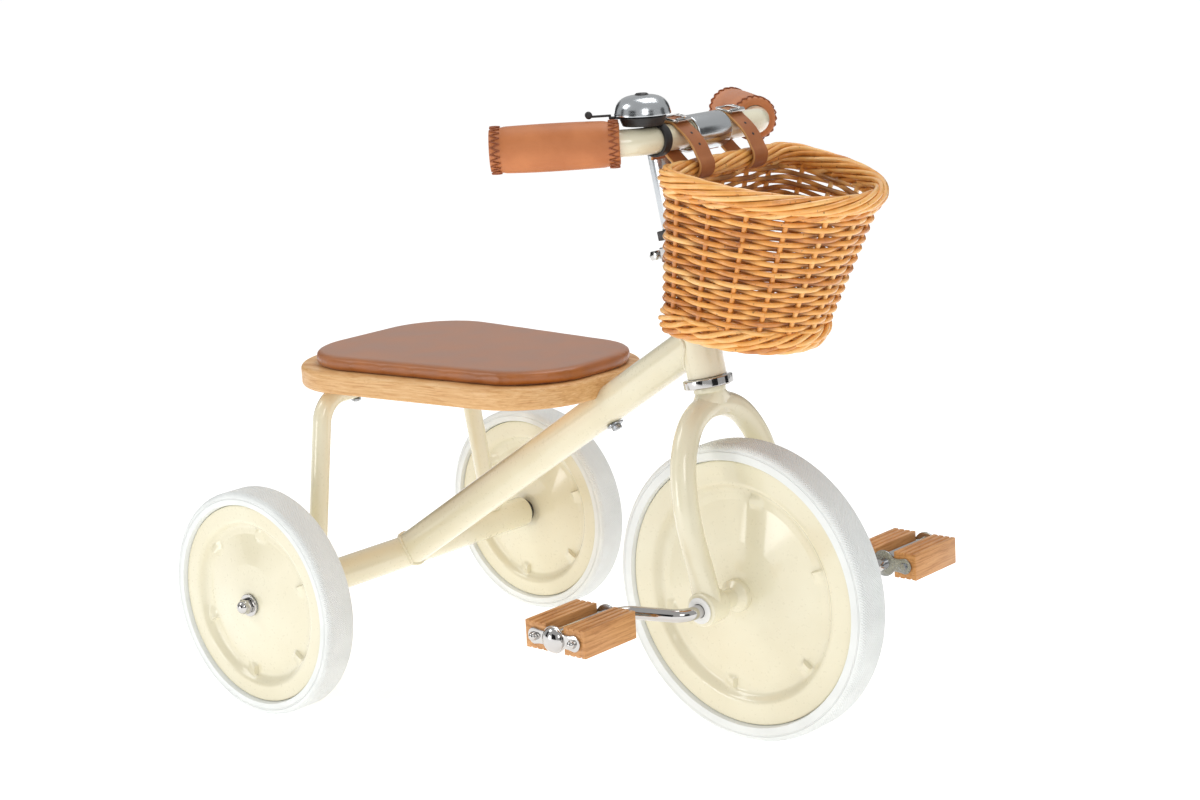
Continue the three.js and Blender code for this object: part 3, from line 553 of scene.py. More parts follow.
def wheel_disc(rim, hub, half, mark_radius):
    """A pressed disc that faces +Z, thin, with its six louvres."""
    face = [(rim, half - 6), (rim - 0.6, half - 4.0), (rim * 0.83, half - 3.8),
            (rim * 0.775, half - 11.6), (rim * 0.70, half - 11.0), (rim * 0.40, half - 4.6),
            (rim * 0.19, half - 1.6), (hub, half - 1.2)]
    line = rounded(face, 7, 7)
    fine = []
    for a, b in zip(line, line[1:]):
        cuts = max(1, round((b - a).length / 1.6))
        fine += [a.lerp(b, k / cuts) for k in range(cuts)]
    fine.append(line[-1])
    top = [(p.x, p.y) for p in fine]
    under = [(r, z - 1.8) for r, z in reversed(top)]

    def marks(radius, angle):
        near = math.remainder(angle - math.radians(17), math.pi / 3) * mark_radius
        across = (radius - mark_radius) / 6.0
        rise = (near + 7) / 14 if near < 7 else 1 - (near - 7) / 0.8    # a ramp, then the lip
        return 5.0 * math.exp(-across ** 4) * min(max(rise, 0.0), 1.0)
    return turned([*top, *under], 360, marks)


WHEEL = {"front": (150, 133.4, 20, 14.8), "rear": (120, 105.8, 19, 11.3)}
wheels = [("front", FRONT_AXLE, "front_wheel", "front_tyre",
           ("front_disc_left", "front_disc_right"))]
for side in ("left", "right"):
    names = (f"rear_disc_outer_{side}", f"rear_disc_inner_{side}")
    wheels.append(("rear", middle_of(f"rear_tyre_{side}"), f"rear_wheel_{side}",
                   f"rear_tyre_{side}", names if side == "left" else names[::-1]))
for kind, centre, body, tyre_node, discs in wheels:
    radius, rim, half, hub = WHEEL[kind]
    place = Matrix.Translation(centre) @ ALONG_Y
    piece(tyre_node + "_skin", [turned(tyre_profile(radius, rim, half), 220)],
          tyre_rubber("white foamed rubber, " + tyre_node.replace("_", " "), tuple(centre),
                      radius * MM),
          body, [tyre_node], place, smooth=50)
    for node, turn in zip(discs, (0, math.pi)):
        piece(node + "_skin", [wheel_disc(rim, hub, half, rim * 0.725)], PAINT, body, [node],
              place @ Matrix.Rotation(turn, 4, "X"), smooth=50)
print("wheels made")

# %% Hubs, washers and nuts
front = Matrix.Translation(FRONT_AXLE) @ ALONG_Y
hub_half = [(6.9, 50.6), (9.4, 50.6), (9.4, 30), (16.5, 25), (16.5, 18.5)]
hub_line = hub_half + [(r, -y) for r, y in reversed(hub_half)]
piece("front_hub_skin", [turned(profile_round(hub_line, 2.5, 5), 64)],
      PAINT, "front_wheel", ["front_hub"], front)
for side, sign in (("left", 1), ("right", -1)):
    body = f"rear_wheel_{side}"
    place = (Matrix.Translation((REAR_AXLE.x, 0, REAR_AXLE.z))
             @ Matrix.Rotation(0 if sign > 0 else math.pi, 4, "Z") @ ALONG_Y)
    piece(f"rear_hub_{side}_skin",
          [turned(profile_round([(5.3, 193.5), (11, 193.5), (11, 232.5), (5.3, 232.5)], 0.8), 48)],
          ZINC, body, [f"rear_hub_{side}"], place)
    piece(f"axle_washer_{side}_skin",
          [turned(profile_round([(5.3, 232.8), (12, 232.8), (12, 234.5), (5.3, 234.5)], 0.6), 48)],
          CHROME, "frame", [f"axle_washer_{side}"], place)
    piece(f"axle_nut_{side}_skin", acorn(8.4, 234.8, 12), CHROME, "frame",
          [f"axle_nut_{side}"], place)
    piece(f"axle_bush_{side}_skin",
          [turned(profile_round([(5.3, 186.3), (13.5, 186.3), (13.5, 193.2), (5.3, 193.2)], 0.8),
                  48)], BLACK, "frame", [f"axle_bush_{side}"], place)

# %% [markdown]
# ## The frame
# The frame is welded from four tubes. A weld leaves a rounded bead where two tubes meet, and
# powder coat covers it, so each joint gets a bead that follows the real line where the two
# cylinders cross.

# %% Tubes
MAIN_RISE = math.radians(32.6)
MAIN = (Matrix.Translation((REAR_AXLE.x, 0, REAR_AXLE.z))
        @ Matrix.Rotation(math.pi / 2 - MAIN_RISE, 4, "Y"))
lean = math.tan(HEAD_TILT)
axle_drop = (FRONT_AXLE.z - REAR_AXLE.z) / MM
HEAD_MEET = ((480 + lean * axle_drop) / (1 + lean * math.tan(MAIN_RISE))
             / math.cos(MAIN_RISE))


def tube(outer, wall, low, high):
    return turned(profile_round([(outer - wall, low), (outer, low), (outer, high),
                                 (outer - wall, high)], 0.5, 3), 80)


piece("main_tube_skin", [turned([(0, 6), (18, 6), (19, 7), (19, HEAD_MEET - 5), (0, HEAD_MEET - 5)],
                                80)], PAINT, "frame", ["main_tube"], MAIN)
AXLE = Matrix.Translation((REAR_AXLE.x, 0, REAR_AXLE.z)) @ ALONG_Y
piece("axle_tube_skin", [tube(17.5, 2, -186, 186)], PAINT, "frame", ["axle_tube"], AXLE)
piece("head_tube_skin", [tube(19.5, 4.3, 214.5, 331)], PAINT, "frame", ["head_tube"], STEERING)
HOOP = rounded([(0, -138, 120), (0, -107.5, 316.7), (0, 107.5, 316.7), (0, 138, 120)], 32, 14)
piece("seat_hoop_skin", [swept(HOOP, 10, 40)], PAINT, "frame", ["seat_hoop"], FROM_REAR)

# %% Weld beads
def weld(radius, other, start, steps=96, thick=2.0):
    """A bead round a rod of one radius where it enters another, in the rod's own frame:
    `start(h)` gives the height along the rod at a distance h off the other's axis."""
    random.seed(11)
    line = []
    for k in range(steps):
        a = 2 * math.pi * k / steps
        line.append(((radius + 0.2) * math.cos(a), (radius + 0.2) * math.sin(a),
                     start(radius * math.cos(a), radius * math.sin(a))))
    widths = [thick + 0.25 * math.sin(k * 1.9) + random.uniform(-0.12, 0.12)
              for k in range(steps)]
    return swept(line, widths, 12, closed=True)


piece("weld_main_to_axle", [weld(
    19, 17.5, lambda x, y: max(6.5, math.sqrt(max(17.7 ** 2 - x * x, 0))))],
      PAINT, "frame", place=MAIN)


def head_height(x, y):
    """Where the main tube's wall meets the head tube, along the main tube."""
    lean_angle = math.pi / 2 - MAIN_RISE + HEAD_TILT
    return (HEAD_MEET - math.sqrt(19.7 ** 2 - min(y * y, 19.7 ** 2)) / math.sin(lean_angle)
            - x / math.tan(lean_angle))


piece("weld_main_to_head", [weld(19, 19.5, head_height)], PAINT, "frame", place=MAIN)
for side, sign in (("left", 1), ("right", -1)):
    foot, hip = Vector((0, sign * 138, 120)), Vector((0, sign * 107.5, 316.7))
    up = (hip - foot).normalized()
    leg = (FROM_REAR @ shift(*foot) @ up.to_track_quat("Z", "X").to_matrix().to_4x4())
    piece(f"weld_hoop_{side}", [weld(
        10, 17.5, lambda x, y: 17.4)], PAINT, "frame", place=leg)
print("frame made, head tube meets at", round(HEAD_MEET, 1))

# %% [markdown]
# ## The seat
# The board is one slab of beech, 22 mm thick, with its edges rounded over. It is wider at
# the back, and all four corners are large arcs.

# %% Board and fixings
def seat_line(back, front, rear_half, front_half, corner, steps=26):
    return rounded([(back, -rear_half), (front, -front_half), (front, front_half),
                    (back, rear_half)], corner, steps, closed=True)


SEAT_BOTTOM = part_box("seat_board")[0].z / MM
SEAT_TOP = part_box("seat_board")[1].z / MM
piece("seat_board_skin", [slab(seat_line(-62, 309, 135, 102, 86), SEAT_BOTTOM, SEAT_TOP, 4.5)],
      BEECH, "frame", ["seat_board"], FROM_REAR)
for side, sign in (("left", 1), ("right", -1)):
    bottom = 306.7
    piece(f"seat_screw_{side}_skin",
          [turned([(0, bottom - 3.6), (3.5, bottom - 3.4), (5.3, bottom - 2.0),
                   (5.5, bottom - 0.3), (2.6, bottom), (2.6, 339), (0, 339)], 32)],
          ZINC, "frame", [f"seat_screw_{side}"], FROM_REAR @ shift(0, sign * 60, 0))
bolt = (FROM_REAR @ shift(364 * math.cos(MAIN_RISE), 0, 120 + 364 * math.sin(MAIN_RISE))
        @ Matrix.Rotation(-MAIN_RISE, 4, "Y"))
piece("seat_bolt_skin", [turned([(0, -21.3), (8, -21.3), (9, -20.8), (9, -19.6), (0, -19.3)], 40),
                         hexagon(5.6, -26, -20.8), turned([(0, -24), (3, -24), (3, 31), (0, 31)], 24)],
      ZINC, "frame", ["seat_bolt"], bolt)

# %% [markdown]
# The cushion is foam under one piece of leather, pulled tight and tacked underneath. A cloth
# simulation gives what a drawn form lacks: the sheet swells, and the crown is highest away
# from the edge. It starts a little small, because it grows, and its underside is pressed
# flat on the board again.

# %% Cushion
CUSHION_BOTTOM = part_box("seat_cushion")[0].z / MM
CUSHION_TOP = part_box("seat_cushion")[1].z / MM
cushion = piece("seat_cushion_leather",
                [slab(seat_line(-45.5, 302.5, 121.5, 88.5, 75.5), CUSHION_BOTTOM,
                      CUSHION_TOP + 0.2, 6.2, 8)],
                CUSHION_LEATHER, "frame", ["seat_cushion"], FROM_REAR, smooth=80)


def inflate(made, cap_mm, floor_z):
    """Swell a closed mesh with cloth, cap how far each point goes, and keep it off the floor."""
    scene = bpy.context.scene
    bpy.context.view_layer.objects.active = made
    remesh = made.modifiers.new("remesh", "REMESH")
    remesh.mode, remesh.voxel_size = "VOXEL", 4 * MM
    graph = bpy.context.evaluated_depsgraph_get()
    even = bpy.data.meshes.new_from_object(made.evaluated_get(graph))
    made.modifiers.clear()
    made.data = even
    rest = [v.co.copy() for v in even.vertices]
    cloth = made.modifiers.new("cloth", "CLOTH")
    cloth.settings.use_pressure = True
    cloth.settings.uniform_pressure_force = 4.0
    cloth.settings.effector_weights.gravity = 0.0
    cloth.point_cache.frame_start, cloth.point_cache.frame_end = 1, 20
    for number in range(1, 21):
        scene.frame_set(number)
    graph = bpy.context.evaluated_depsgraph_get()
    swollen = bpy.data.meshes.new_from_object(made.evaluated_get(graph))
    made.modifiers.clear()
    steps = [v.co - before for v, before in zip(swollen.vertices, rest)]
    near = [[] for _ in rest]
    for edge in swollen.edges:
        a, b = edge.vertices
        near[a].append(b), near[b].append(a)
    for _ in range(60):             # taut leather has no small waves
        steps = [(step + sum((steps[n] for n in near[i]), Vector())) / (len(near[i]) + 1)
                 for i, step in enumerate(steps)]
    for vertex, before, step in zip(swollen.vertices, rest, steps):
        step.x, step.y = (max(-0.4 * MM, min(0.4 * MM, c)) for c in (step.x, step.y))
        step.z = max(-cap_mm * MM, min(cap_mm * MM, step.z))
        place = before + step
        place.z = max(place.z, floor_z)
        vertex.co = place
    made.data = swollen
    scene.frame_set(1)


inflate(cushion, 1.4, CUSHION_BOTTOM * MM)
cushion.data.shade_smooth()
if not cushion.data.materials:
    cushion.data.materials.append(CUSHION_LEATHER)
smooth = cushion.modifiers.new("smooth", "SUBSURF")
smooth.levels = smooth.render_levels = 1
print("cushion", len(cushion.data.vertices), "points")

# %% [markdown]
# ## Crank and pedals
# The front wheel is driven directly: one polished rod bends out to each pedal. Each
# pedal has two grooved blocks of wood between steel plates, with a domed cap in the middle.

# %% Crank
crank_line = rounded([(-63, -213, 0), (-63, -119, 0), (0, -100, 0), (0, 100, 0), (63, 119, 0),
                      (63, 213, 0)], 19, 14)
piece("crank_skin", [swept(crank_line, 6.5, 32)], CHROME, "front_wheel", ["crank"],
      Matrix.Translation(FRONT_AXLE))

# %% Pedals
def pedal_block(length):
    """A block along Z with three V grooves along its top and bottom."""
    wide, high = 13, 13.5
    grooves = [-0.27 * 26, 0, 0.27 * 26]
    top = [(-wide, high)]
    for x in grooves:
        top += [(x - 1.3, high), (x - 0.5, high - 1.7), (x + 0.5, high - 1.7), (x + 1.3, high)]
    top.append((wide, high))
    outline = top + [(-x, -z) for x, z in top]
    return slab(rounded(outline, 0.45, 2, closed=True), 0, length, 0.5, 2)


def dog_bone(z0, z1):
    """A plate with three round lobes joined by necks."""
    outline = []
    for k in range(120):
        a = 2 * math.pi * k / 120
        spans = [math.sqrt(max(r * r - (c * math.sin(a)) ** 2, 0)) + c * math.cos(a)
                 for c, r in ((24, 8.2), (-24, 8.2)) if abs(c * math.sin(a)) < r]
        neck = 6.8 / abs(math.sin(a)) if abs(math.tan(a)) > 0.28 else 99
        outline.append((max([13.5, min(neck, 24)] + spans), a))
    return slab([(r * math.cos(a), r * math.sin(a)) for r, a in outline], z0, z1, 0.5, 2)


for side, sign in (("left", 1), ("right", -1)):
    centre = Vector((FRONT_AXLE.x + sign * 63 * MM, 0, FRONT_AXLE.z))
    place = (Matrix.Translation(centre) @ Matrix.Rotation(0 if sign > 0 else math.pi, 4, "Z")
             @ ALONG_Y)
    body = f"pedal_{side}"
    for where_node, x in (("front", sign * 24), ("rear", -sign * 24)):
        piece(f"pedal_block_{where_node}_{side}_skin", [pedal_block(73.2)], PEDAL_BEECH, body,
              [f"pedal_block_{where_node}_{side}"], place @ shift(x, 0, 142.4))
    piece(f"pedal_sleeve_{side}_skin", [turned(profile_round(
        [(6.9, 142.4), (9, 142.4), (9, 215.6), (6.9, 215.6)], 0.5), 40)],
          CHROME, body, [f"pedal_sleeve_{side}"], place)
    cap = [(0, 217), (12.6, 217), (12.6, 218)] + [
        (12.6 * math.cos(a), 218 + 7.4 * math.sin(a))
        for a in (k * math.pi / 24 for k in range(1, 12))]
    outer = [dog_bone(216, 218), turned([*cap, (0, 225.4)], 48)]
    for x in (-24, 24):
        outer += [moved(part, shift(x, 0, 0)) for part in acorn(4.6, 218, 5.5)]
    piece(f"pedal_end_plate_{side}_skin", outer, CHROME, body, [f"pedal_end_plate_{side}"], place)
    inner = [dog_bone(140, 142)]
    for x in (-24, 24):
        inner.append(moved(hexagon(4.4, 136.5, 140.2), shift(x, 0, 0)))
    piece(f"pedal_inner_plate_{side}_skin", inner, ZINC, body,
          [f"pedal_inner_plate_{side}"], place)
print("crank and pedals made")

# %% [markdown]
# ## Fork and headset
# The fork is one bent tube. Each foot is pressed flatter round a boss, and a fillet of weld
# joins the crown to the steerer tube. Above it are the headset's chrome cup, the head tube, a
# clamp collar, a locknut and the stem.

# %% Fork
def smooth_line(corners, steps=10):
    """A curve through the corners (Catmull-Rom)."""
    c = [Vector(p) for p in corners]
    c = [2 * c[0] - c[1], *c, 2 * c[-1] - c[-2]]
    line = []
    for i in range(1, len(c) - 2):
        for k in range(steps):
            t = k / steps
            line.append(0.5 * (2 * c[i] + (c[i + 1] - c[i - 1]) * t
                               + (2 * c[i - 1] - 5 * c[i] + 4 * c[i + 1] - c[i + 2]) * t * t
                               + (3 * c[i] - c[i - 1] - 3 * c[i + 1] + c[i + 2]) * t ** 3))
    return line + [c[-2]]


leg = [(64, 4), (65.5, 34), (69, 76), (67, 112), (56.5, 148), (34, 176), (0, 186.5)]
both = [(0, -y, z) for y, z in leg] + [(0, y, z) for y, z in reversed(leg[:-1])]
points, faces = swept(smooth_line(both, 14), 12.6, 44)
for i, p in enumerate(points):      # each foot is pressed flatter and wider than the leg
    press = min(max((46 - p.z) / 40, 0.0), 1.0)
    middle = math.copysign(64.8, p.y)
    points[i] = Vector((p.x * (1 + 0.3 * press), middle + (p.y - middle) * (1 - 0.25 * press)
                        if press else p.y, p.z))
# A fillet of weld fills the notch where the steerer tube meets the crown.
WEB = [(199.6, 14.6, 15.2), (197.5, 14.6, 17.5), (194.5, 14.2, 22), (190, 13.4, 28),
       (184, 12, 30), (176, 11, 26)]        # height, half width along and across
WEB_SIDES = 48
web_points = [(a * math.cos(t), b * math.sin(t), z) for z, a, b in WEB
              for t in (2 * math.pi * k / WEB_SIDES for k in range(WEB_SIDES))]
web_faces = [(i * WEB_SIDES + k, i * WEB_SIDES + (k + 1) % WEB_SIDES,
              (i + 1) * WEB_SIDES + (k + 1) % WEB_SIDES, (i + 1) * WEB_SIDES + k)
             for i in range(len(WEB) - 1) for k in range(WEB_SIDES)]
web_faces += [tuple(range(WEB_SIDES)),
              tuple(range((len(WEB) - 1) * WEB_SIDES, len(WEB) * WEB_SIDES))]
fork = [(points, faces), (web_points, web_faces),
        turned(profile_round([(12.4, 186), (14.3, 186), (14.3, 352), (12.4, 352)], 0.4), 56)]
for sign in (-1, 1):
    boss = turned(profile_round([(10.8, sign * 64 - 13), (16.8, sign * 64 - 13),
                                 (16.8, sign * 64 + 13), (10.8, sign * 64 + 13)], 1.8), 56)
    fork.append(moved(boss, ALONG_Y))
piece("fork_skin", fork, PAINT, "steering", ["fork"], STEERING)
for side, sign in (("left", 1), ("right", -1)):
    place = STEERING @ Matrix.Rotation(0 if sign > 0 else math.pi, 4, "Z") @ ALONG_Y
    piece(f"fork_bush_{side}_skin", [turned(profile_round(
        [(6.9, 51), (10.5, 51), (10.5, 77.3), (13, 77.3), (13, 79.6), (6.9, 79.6)], 0.5, 3), 44)],
          NYLON, "steering", [f"fork_bush_{side}"], place)

# %% Headset
def ring_piece(name, corners, material, body, stands_for, radius=1.0):
    return piece(name, [turned(profile_round(corners, radius), 80)], material, body,
                 stands_for, STEERING)


ring_piece("crown_race_skin", [(14.6, 199.4), (16, 199.4), (16, 204.2), (14.6, 204.2)], PAINT,
           "steering", ["crown_race"], 0.4)
ring_piece("headset_cup_skin", [(15, 204.5), (22.8, 204.5), (24.8, 205.6), (24.8, 213.2),
                                (22.5, 214.2), (15, 214.2)],
           CHROME, "frame", ["headset_cup"], 0.8)
collar = [turned(profile_round([(15, 331.3), (22, 331.3), (22, 346), (15, 346)], 1.2), 72)]
for y in (-3.5, 3.5):
    collar.append(moved(slab(rounded([(-31, -2), (-18, -2), (-18, 2), (-31, 2)], 1.2, 3, True),
                             334.5, 343.5, 1.2, 3), shift(0, y, 0)))
pinch = [hexagon(5.2, -13, -5), hexagon(5.2, 5, 13),
         turned([(0, -12), (3, -12), (3, 12), (0, 12)], 20)]
collar += [moved(p, shift(-27, 0, 339) @ ALONG_Y) for p in pinch]
piece("headset_collar_skin", collar, CHROME, "frame", ["headset_collar"], STEERING)
nut = rounded([(21 * math.cos(k * math.pi / 4), 21 * math.sin(k * math.pi / 4))
               for k in range(8)], 1.5, 3, True)
piece("locknut_skin", [slab(nut, 352.3, 361.5, 0.8, 3)], BLACK, "steering", ["locknut"], STEERING)

# %% Stem
STEM_TOP = 447.5
post = turned(profile_round([(11.9, 340), (11.9, 361.8), (15.5, 361.8), (15.5, 450.5), (4, 450.5),
                             (4, 340)], 1.0), 72)
clamp = moved(turned(profile_round([(13.1, -25), (17.5, -25), (17.5, 25), (13.1, 25)], 1.5), 72),
              shift(52.5, 0, STEM_TOP) @ ALONG_Y)
neck = swept([(-2, 0, STEM_TOP - 11), (44, 0, STEM_TOP - 1.5)], 11, 40)
piece("stem_skin", [post, clamp, neck], BRUSHED, "steering", ["stem"], STEERING)
piece("stem_bolt_skin", [hexagon(8, 450.8, 456.5, 0.8), turned([(0, 440), (4.3, 440), (4.3, 451),
                                                            (0, 451)], 24)],
      ZINC, "steering", ["stem_bolt"], STEERING)
print("front end made")

# %% [markdown]
# ## Handlebar and grips
# The bar is straight in the middle and then swept back. Each grip is leather rolled round
# the bar, a little fuller in the middle, and laced in a zigzag round both ends.

# %% Bar
SWEEP = math.radians(50)
BEND = 40
sweep_length = BEND * math.tan(SWEEP / 2)
knee = 72 + sweep_length
out = Vector((-math.sin(SWEEP), math.cos(SWEEP), 0))
grip_start = Vector((0, knee, 0)) + out * (sweep_length + 0.5)
bar_end = grip_start + out * 112
mirror = Vector((1, -1, 1))
bar_line = rounded([bar_end * mirror, (0, -knee, 0), (0, knee, 0), bar_end], BEND, 14)
piece("handlebar_skin", [swept(bar_line, 12.8, 48)], PAINT, "steering", ["handlebar"], BAR)

# %% Grips
GRIP_LENGTH = 120


def grip_profile():
    """The leather's outline: gathered at the laced ends, fuller in the middle."""
    line = []
    for k in range(61):
        t = k / 60
        full = 21.2 + 0.9 * math.sin(math.pi * t)
        lip = -1.6 * math.exp(-((min(t, 1 - t) - 0.085) / 0.022) ** 2)
        end = -2.2 * math.exp(-(min(t, 1 - t) / 0.012) ** 2)
        line.append((full + lip * 0.45 + end, GRIP_LENGTH * t))
    return line


def creased(profile, sides, seed):
    """A turned tube whose wall wanders a little, as leather does."""
    points, faces = turned(profile, sides)
    random.seed(seed)
    waves = [(random.randint(2, 5), random.uniform(0, 6.3), random.uniform(0.02, 0.06))
             for _ in range(6)]
    soft = []
    for x, y, z in points:
        r, a = math.hypot(x, y), math.atan2(y, x)
        change = sum(0.16 * math.sin(n * a + p + z * w) for n, p, w in waves) if r > 18 else 0
        soft.append(((r + change) * math.cos(a), (r + change) * math.sin(a), z))
    return soft, faces


# %% [markdown]
# The lacing repeats, so Geometry Nodes make it. The tree takes a line of points that each
# carry a direction, puts a short bent stitch at each one, makes them real and paints them.

# %% The lacing tree
def start_tree(name, numbers):
    """A Geometry Nodes tree with named numbers as its inputs."""
    tree = bpy.data.node_groups.new(name, "GeometryNodeTree")
    tree.interface.new_socket("Geometry", in_out="INPUT", socket_type="NodeSocketGeometry")
    for label, value in numbers.items():
        kind = "NodeSocketInt" if isinstance(value, int) else "NodeSocketFloat"
        tree.interface.new_socket(label, in_out="INPUT", socket_type=kind).default_value = value
    tree.interface.new_socket("Geometry", in_out="OUTPUT", socket_type="NodeSocketGeometry")
    return tree, add_node(tree, "NodeGroupInput"), add_node(tree, "NodeGroupOutput")


def end_tree(tree, output, geometry, material):
    real = add_node(tree, "GeometryNodeRealizeInstances", {0: geometry})
    painted = add_node(tree, "GeometryNodeSetMaterial", {0: real.outputs[0], "Material": material})
    tree.links.new(painted.outputs[0], output.inputs[0])


def grow(name, guide, tree, numbers):
    """Run a tree on a guide mesh and keep what it makes as a plain mesh."""
    source = bpy.data.objects.new(name + "_guide", guide)
    bpy.context.scene.collection.objects.link(source)
    modifier = source.modifiers.new("grow", "NODES")
    modifier.node_group = tree
    sockets = {s.name: s.identifier for s in tree.interface.items_tree if s.in_out == "INPUT"}
    for label, value in numbers.items():
        modifier[sockets[label]] = value
    graph = bpy.context.evaluated_depsgraph_get()
    mesh = bpy.data.meshes.new_from_object(source.evaluated_get(graph))
    mesh.name = name
    bpy.data.objects.remove(source)
    mesh.shade_smooth()
    made = bpy.data.objects.new(name, mesh)
    bpy.context.scene.collection.objects.link(made)
    return made


lacing, given, result = start_tree("Lacing", {"Stitch Length": 0.009, "Thread": 0.0009})
half_stitch = add_node(lacing, "ShaderNodeMath", {0: given.outputs["Stitch Length"], 1: 0.5},
                       operation="MULTIPLY")
back_stitch = add_node(lacing, "ShaderNodeMath", {0: half_stitch.outputs[0], 1: -1.0},
                       operation="MULTIPLY")
from_point = add_node(lacing, "ShaderNodeCombineXYZ", {"X": back_stitch.outputs[0]})
to_point = add_node(lacing, "ShaderNodeCombineXYZ", {"X": half_stitch.outputs[0]})
arch = add_node(lacing, "ShaderNodeCombineXYZ", {"Z": given.outputs["Thread"]})
thread = add_node(lacing, "GeometryNodeCurveQuadraticBezier",
                  {"Resolution": 6, "Start": from_point.outputs[0],
                   "Middle": arch.outputs[0], "End": to_point.outputs[0]})
section = add_node(lacing, "GeometryNodeCurvePrimitiveCircle",
                   {"Resolution": 6, "Radius": given.outputs["Thread"]})
stitch = add_node(lacing, "GeometryNodeCurveToMesh",
                  {"Curve": thread.outputs[0], "Profile Curve": section.outputs[0],
                   "Fill Caps": True})
out_of = add_node(lacing, "GeometryNodeInputNamedAttribute", {"Name": "outward"},
                  data_type="FLOAT_VECTOR")
along_it = add_node(lacing, "GeometryNodeInputNamedAttribute", {"Name": "stitch_way"},
                    data_type="FLOAT_VECTOR")
facing = add_node(lacing, "FunctionNodeAlignRotationToVector",
                  {"Vector": out_of.outputs[0]}, axis="Z")
aimed = add_node(lacing, "FunctionNodeAlignRotationToVector",
                 {"Rotation": facing.outputs[0], "Vector": along_it.outputs[0]},
                 axis="X", pivot_axis="Z")
sewn = add_node(lacing, "GeometryNodeInstanceOnPoints",
                {"Points": given.outputs[0], "Instance": stitch.outputs[0],
                 "Rotation": aimed.outputs[0]})
end_tree(lacing, result, sewn.outputs[0], STITCH)


def guide_points(name, rows, attributes):
    """A mesh of loose points, with vector attributes."""
    mesh = bpy.data.meshes.new(name)
    mesh.from_pydata([r[0] for r in rows], [], [])
    for i, label in enumerate(attributes):
        values = mesh.attributes.new(label, "FLOAT_VECTOR", "POINT")
        values.data.foreach_set("vector", [c for r in rows for c in r[i + 1]])
    return mesh

# %% Both grips with their lacing
for side, sign in (("left", 1), ("right", -1)):
    aim = Vector((out.x, sign * out.y, 0))
    place = (BAR @ shift(grip_start.x, sign * grip_start.y, 0)
             @ aim.to_track_quat("Z", "Y").to_matrix().to_4x4())
    outside = grip_profile()
    inside = [(13.2, GRIP_LENGTH - 6), (13.2, 0.4), (17.2, 0)]
    cover = [(0, GRIP_LENGTH - 2.5), (0, GRIP_LENGTH - 6)]
    line = [*outside, (16, GRIP_LENGTH - 0.6), *cover, *inside]
    piece(f"grip_{side}_leather", [creased(line, 72, 4)], GRIP_LEATHER, "steering",
          [f"grip_{side}"], place, smooth=50)
    rows = []
    for end in (0.0, 1.0):
        for k in range(44):
            a = 2 * math.pi * k / 44
            z = GRIP_LENGTH * end + (5.4 if end == 0 else -5.4)
            radius = 21.55
            outward = Vector((math.cos(a), math.sin(a), 0))
            round_it = Vector((-math.sin(a), math.cos(a), 0))
            slant = (round_it * (0.36 if k % 2 else -0.36) + Vector((0, 0, 0.93)))
            turn = place.to_3x3()
            rows.append((place @ (Vector((radius * outward.x, radius * outward.y, z)) * MM),
                         turn @ outward, turn @ slant))
    laces = grow(f"grip_{side}_lacing", guide_points("laces", rows, ("outward", "stitch_way")),
                 lacing, {"Stitch Length": 0.0098, "Thread": 0.00075})
    declare(laces, "steering", ())
print("grips laced")

# %% [markdown]
# ## The bell
# A spun chrome dome sits on a black moulded base that clamps round the bar, with a thumb
# lever that ends in a round button.

# %% Bell
BELL = BAR @ shift(-5, -80, 0)
base_bottom, base_top = 14.6, 23.6
dome_bottom = base_top + 1
base = [turned(profile_round([(0, base_bottom), (19, base_bottom), (22.5, base_top), (0, base_top)],
                             1.0), 64),
        moved(turned(profile_round([(13.1, 7), (16.1, 7), (16.1, 17), (13.1, 17)], 0.8), 56),
              shift(5, 0, 0) @ ALONG_Y),
        turned([(0, base_top - 1), (3.2, base_top - 1), (3.2, base_top + 14), (0, base_top + 14)], 24),
        moved(slab(rounded([(-5, -4.5), (5, -4.5), (5, 4.5), (-5, 4.5)], 1.5, 3, True), -7, -1, 1),
              shift(-12, 12, 0))]
piece("bell_base_skin", base, BLACK, "steering", ["bell_base"], BELL)
dome = [(26 * math.cos(a) ** 0.62, dome_bottom + 17.5 * math.sin(a) ** 0.95)
        for a in (k * math.pi / 2 / 24 for k in range(24))]
dome = [(26.4, dome_bottom), (26.6, dome_bottom + 1.2), *[(r, z + 0.8) for r, z in dome[2:]]]
dome = [p for p in dome if p[0] > 3.6] + [(3.6, dome_bottom + 17.9), (3.6, dome_bottom + 16.4)]
lining = [(r - 1.5, z - 1.2) for r, z in reversed(dome[1:-2]) if r > 6] + [(25, dome_bottom)]
piece("bell_dome_skin", [turned(dome + lining, 96)], BRUSHED, "steering", ["bell_dome"], BELL,
      smooth=50)
cap_low = dome_bottom + 17.8
piece("bell_cap_skin", [turned([(0, cap_low), (6.5, cap_low), (6.4, cap_low + 0.8),
                                (5, cap_low + 1.9), (0, cap_low + 2.1)], 40)],
      BLACK, "steering", ["bell_cap"], BELL)
LEVER = (BELL @ shift(-15, -15, base_top - 3.6 + 1.9)
         @ Matrix.Rotation(-math.pi * 0.75, 4, "Z"))
lever = [turned(profile_round([(2, 0), (4.5, 0), (4.5, 2.4), (2, 2.4)], 0.4), 32),
         slab(rounded([(3, -2.2), (10, -2.1), (10, 2.1), (3, 2.2)], 0.8, 3, True), 0, 2.4, 0.5, 3),
         slab(rounded([(8, -2.1), (10.2, -2.1), (10.2, 2.1), (8, 2.1)], 0.8, 3, True), 0, 4.4, 0.5, 3),
         slab(rounded([(8, -2.1), (27, -1.8), (27, 1.8), (8, 2.1)], 0.8, 3, True), 2.4, 4.4, 0.5, 3)]
button = turned(profile_round([(0, -4.4), (3.4, -4.4), (3.4, 4.4), (0, 4.4)], 1.6), 32)
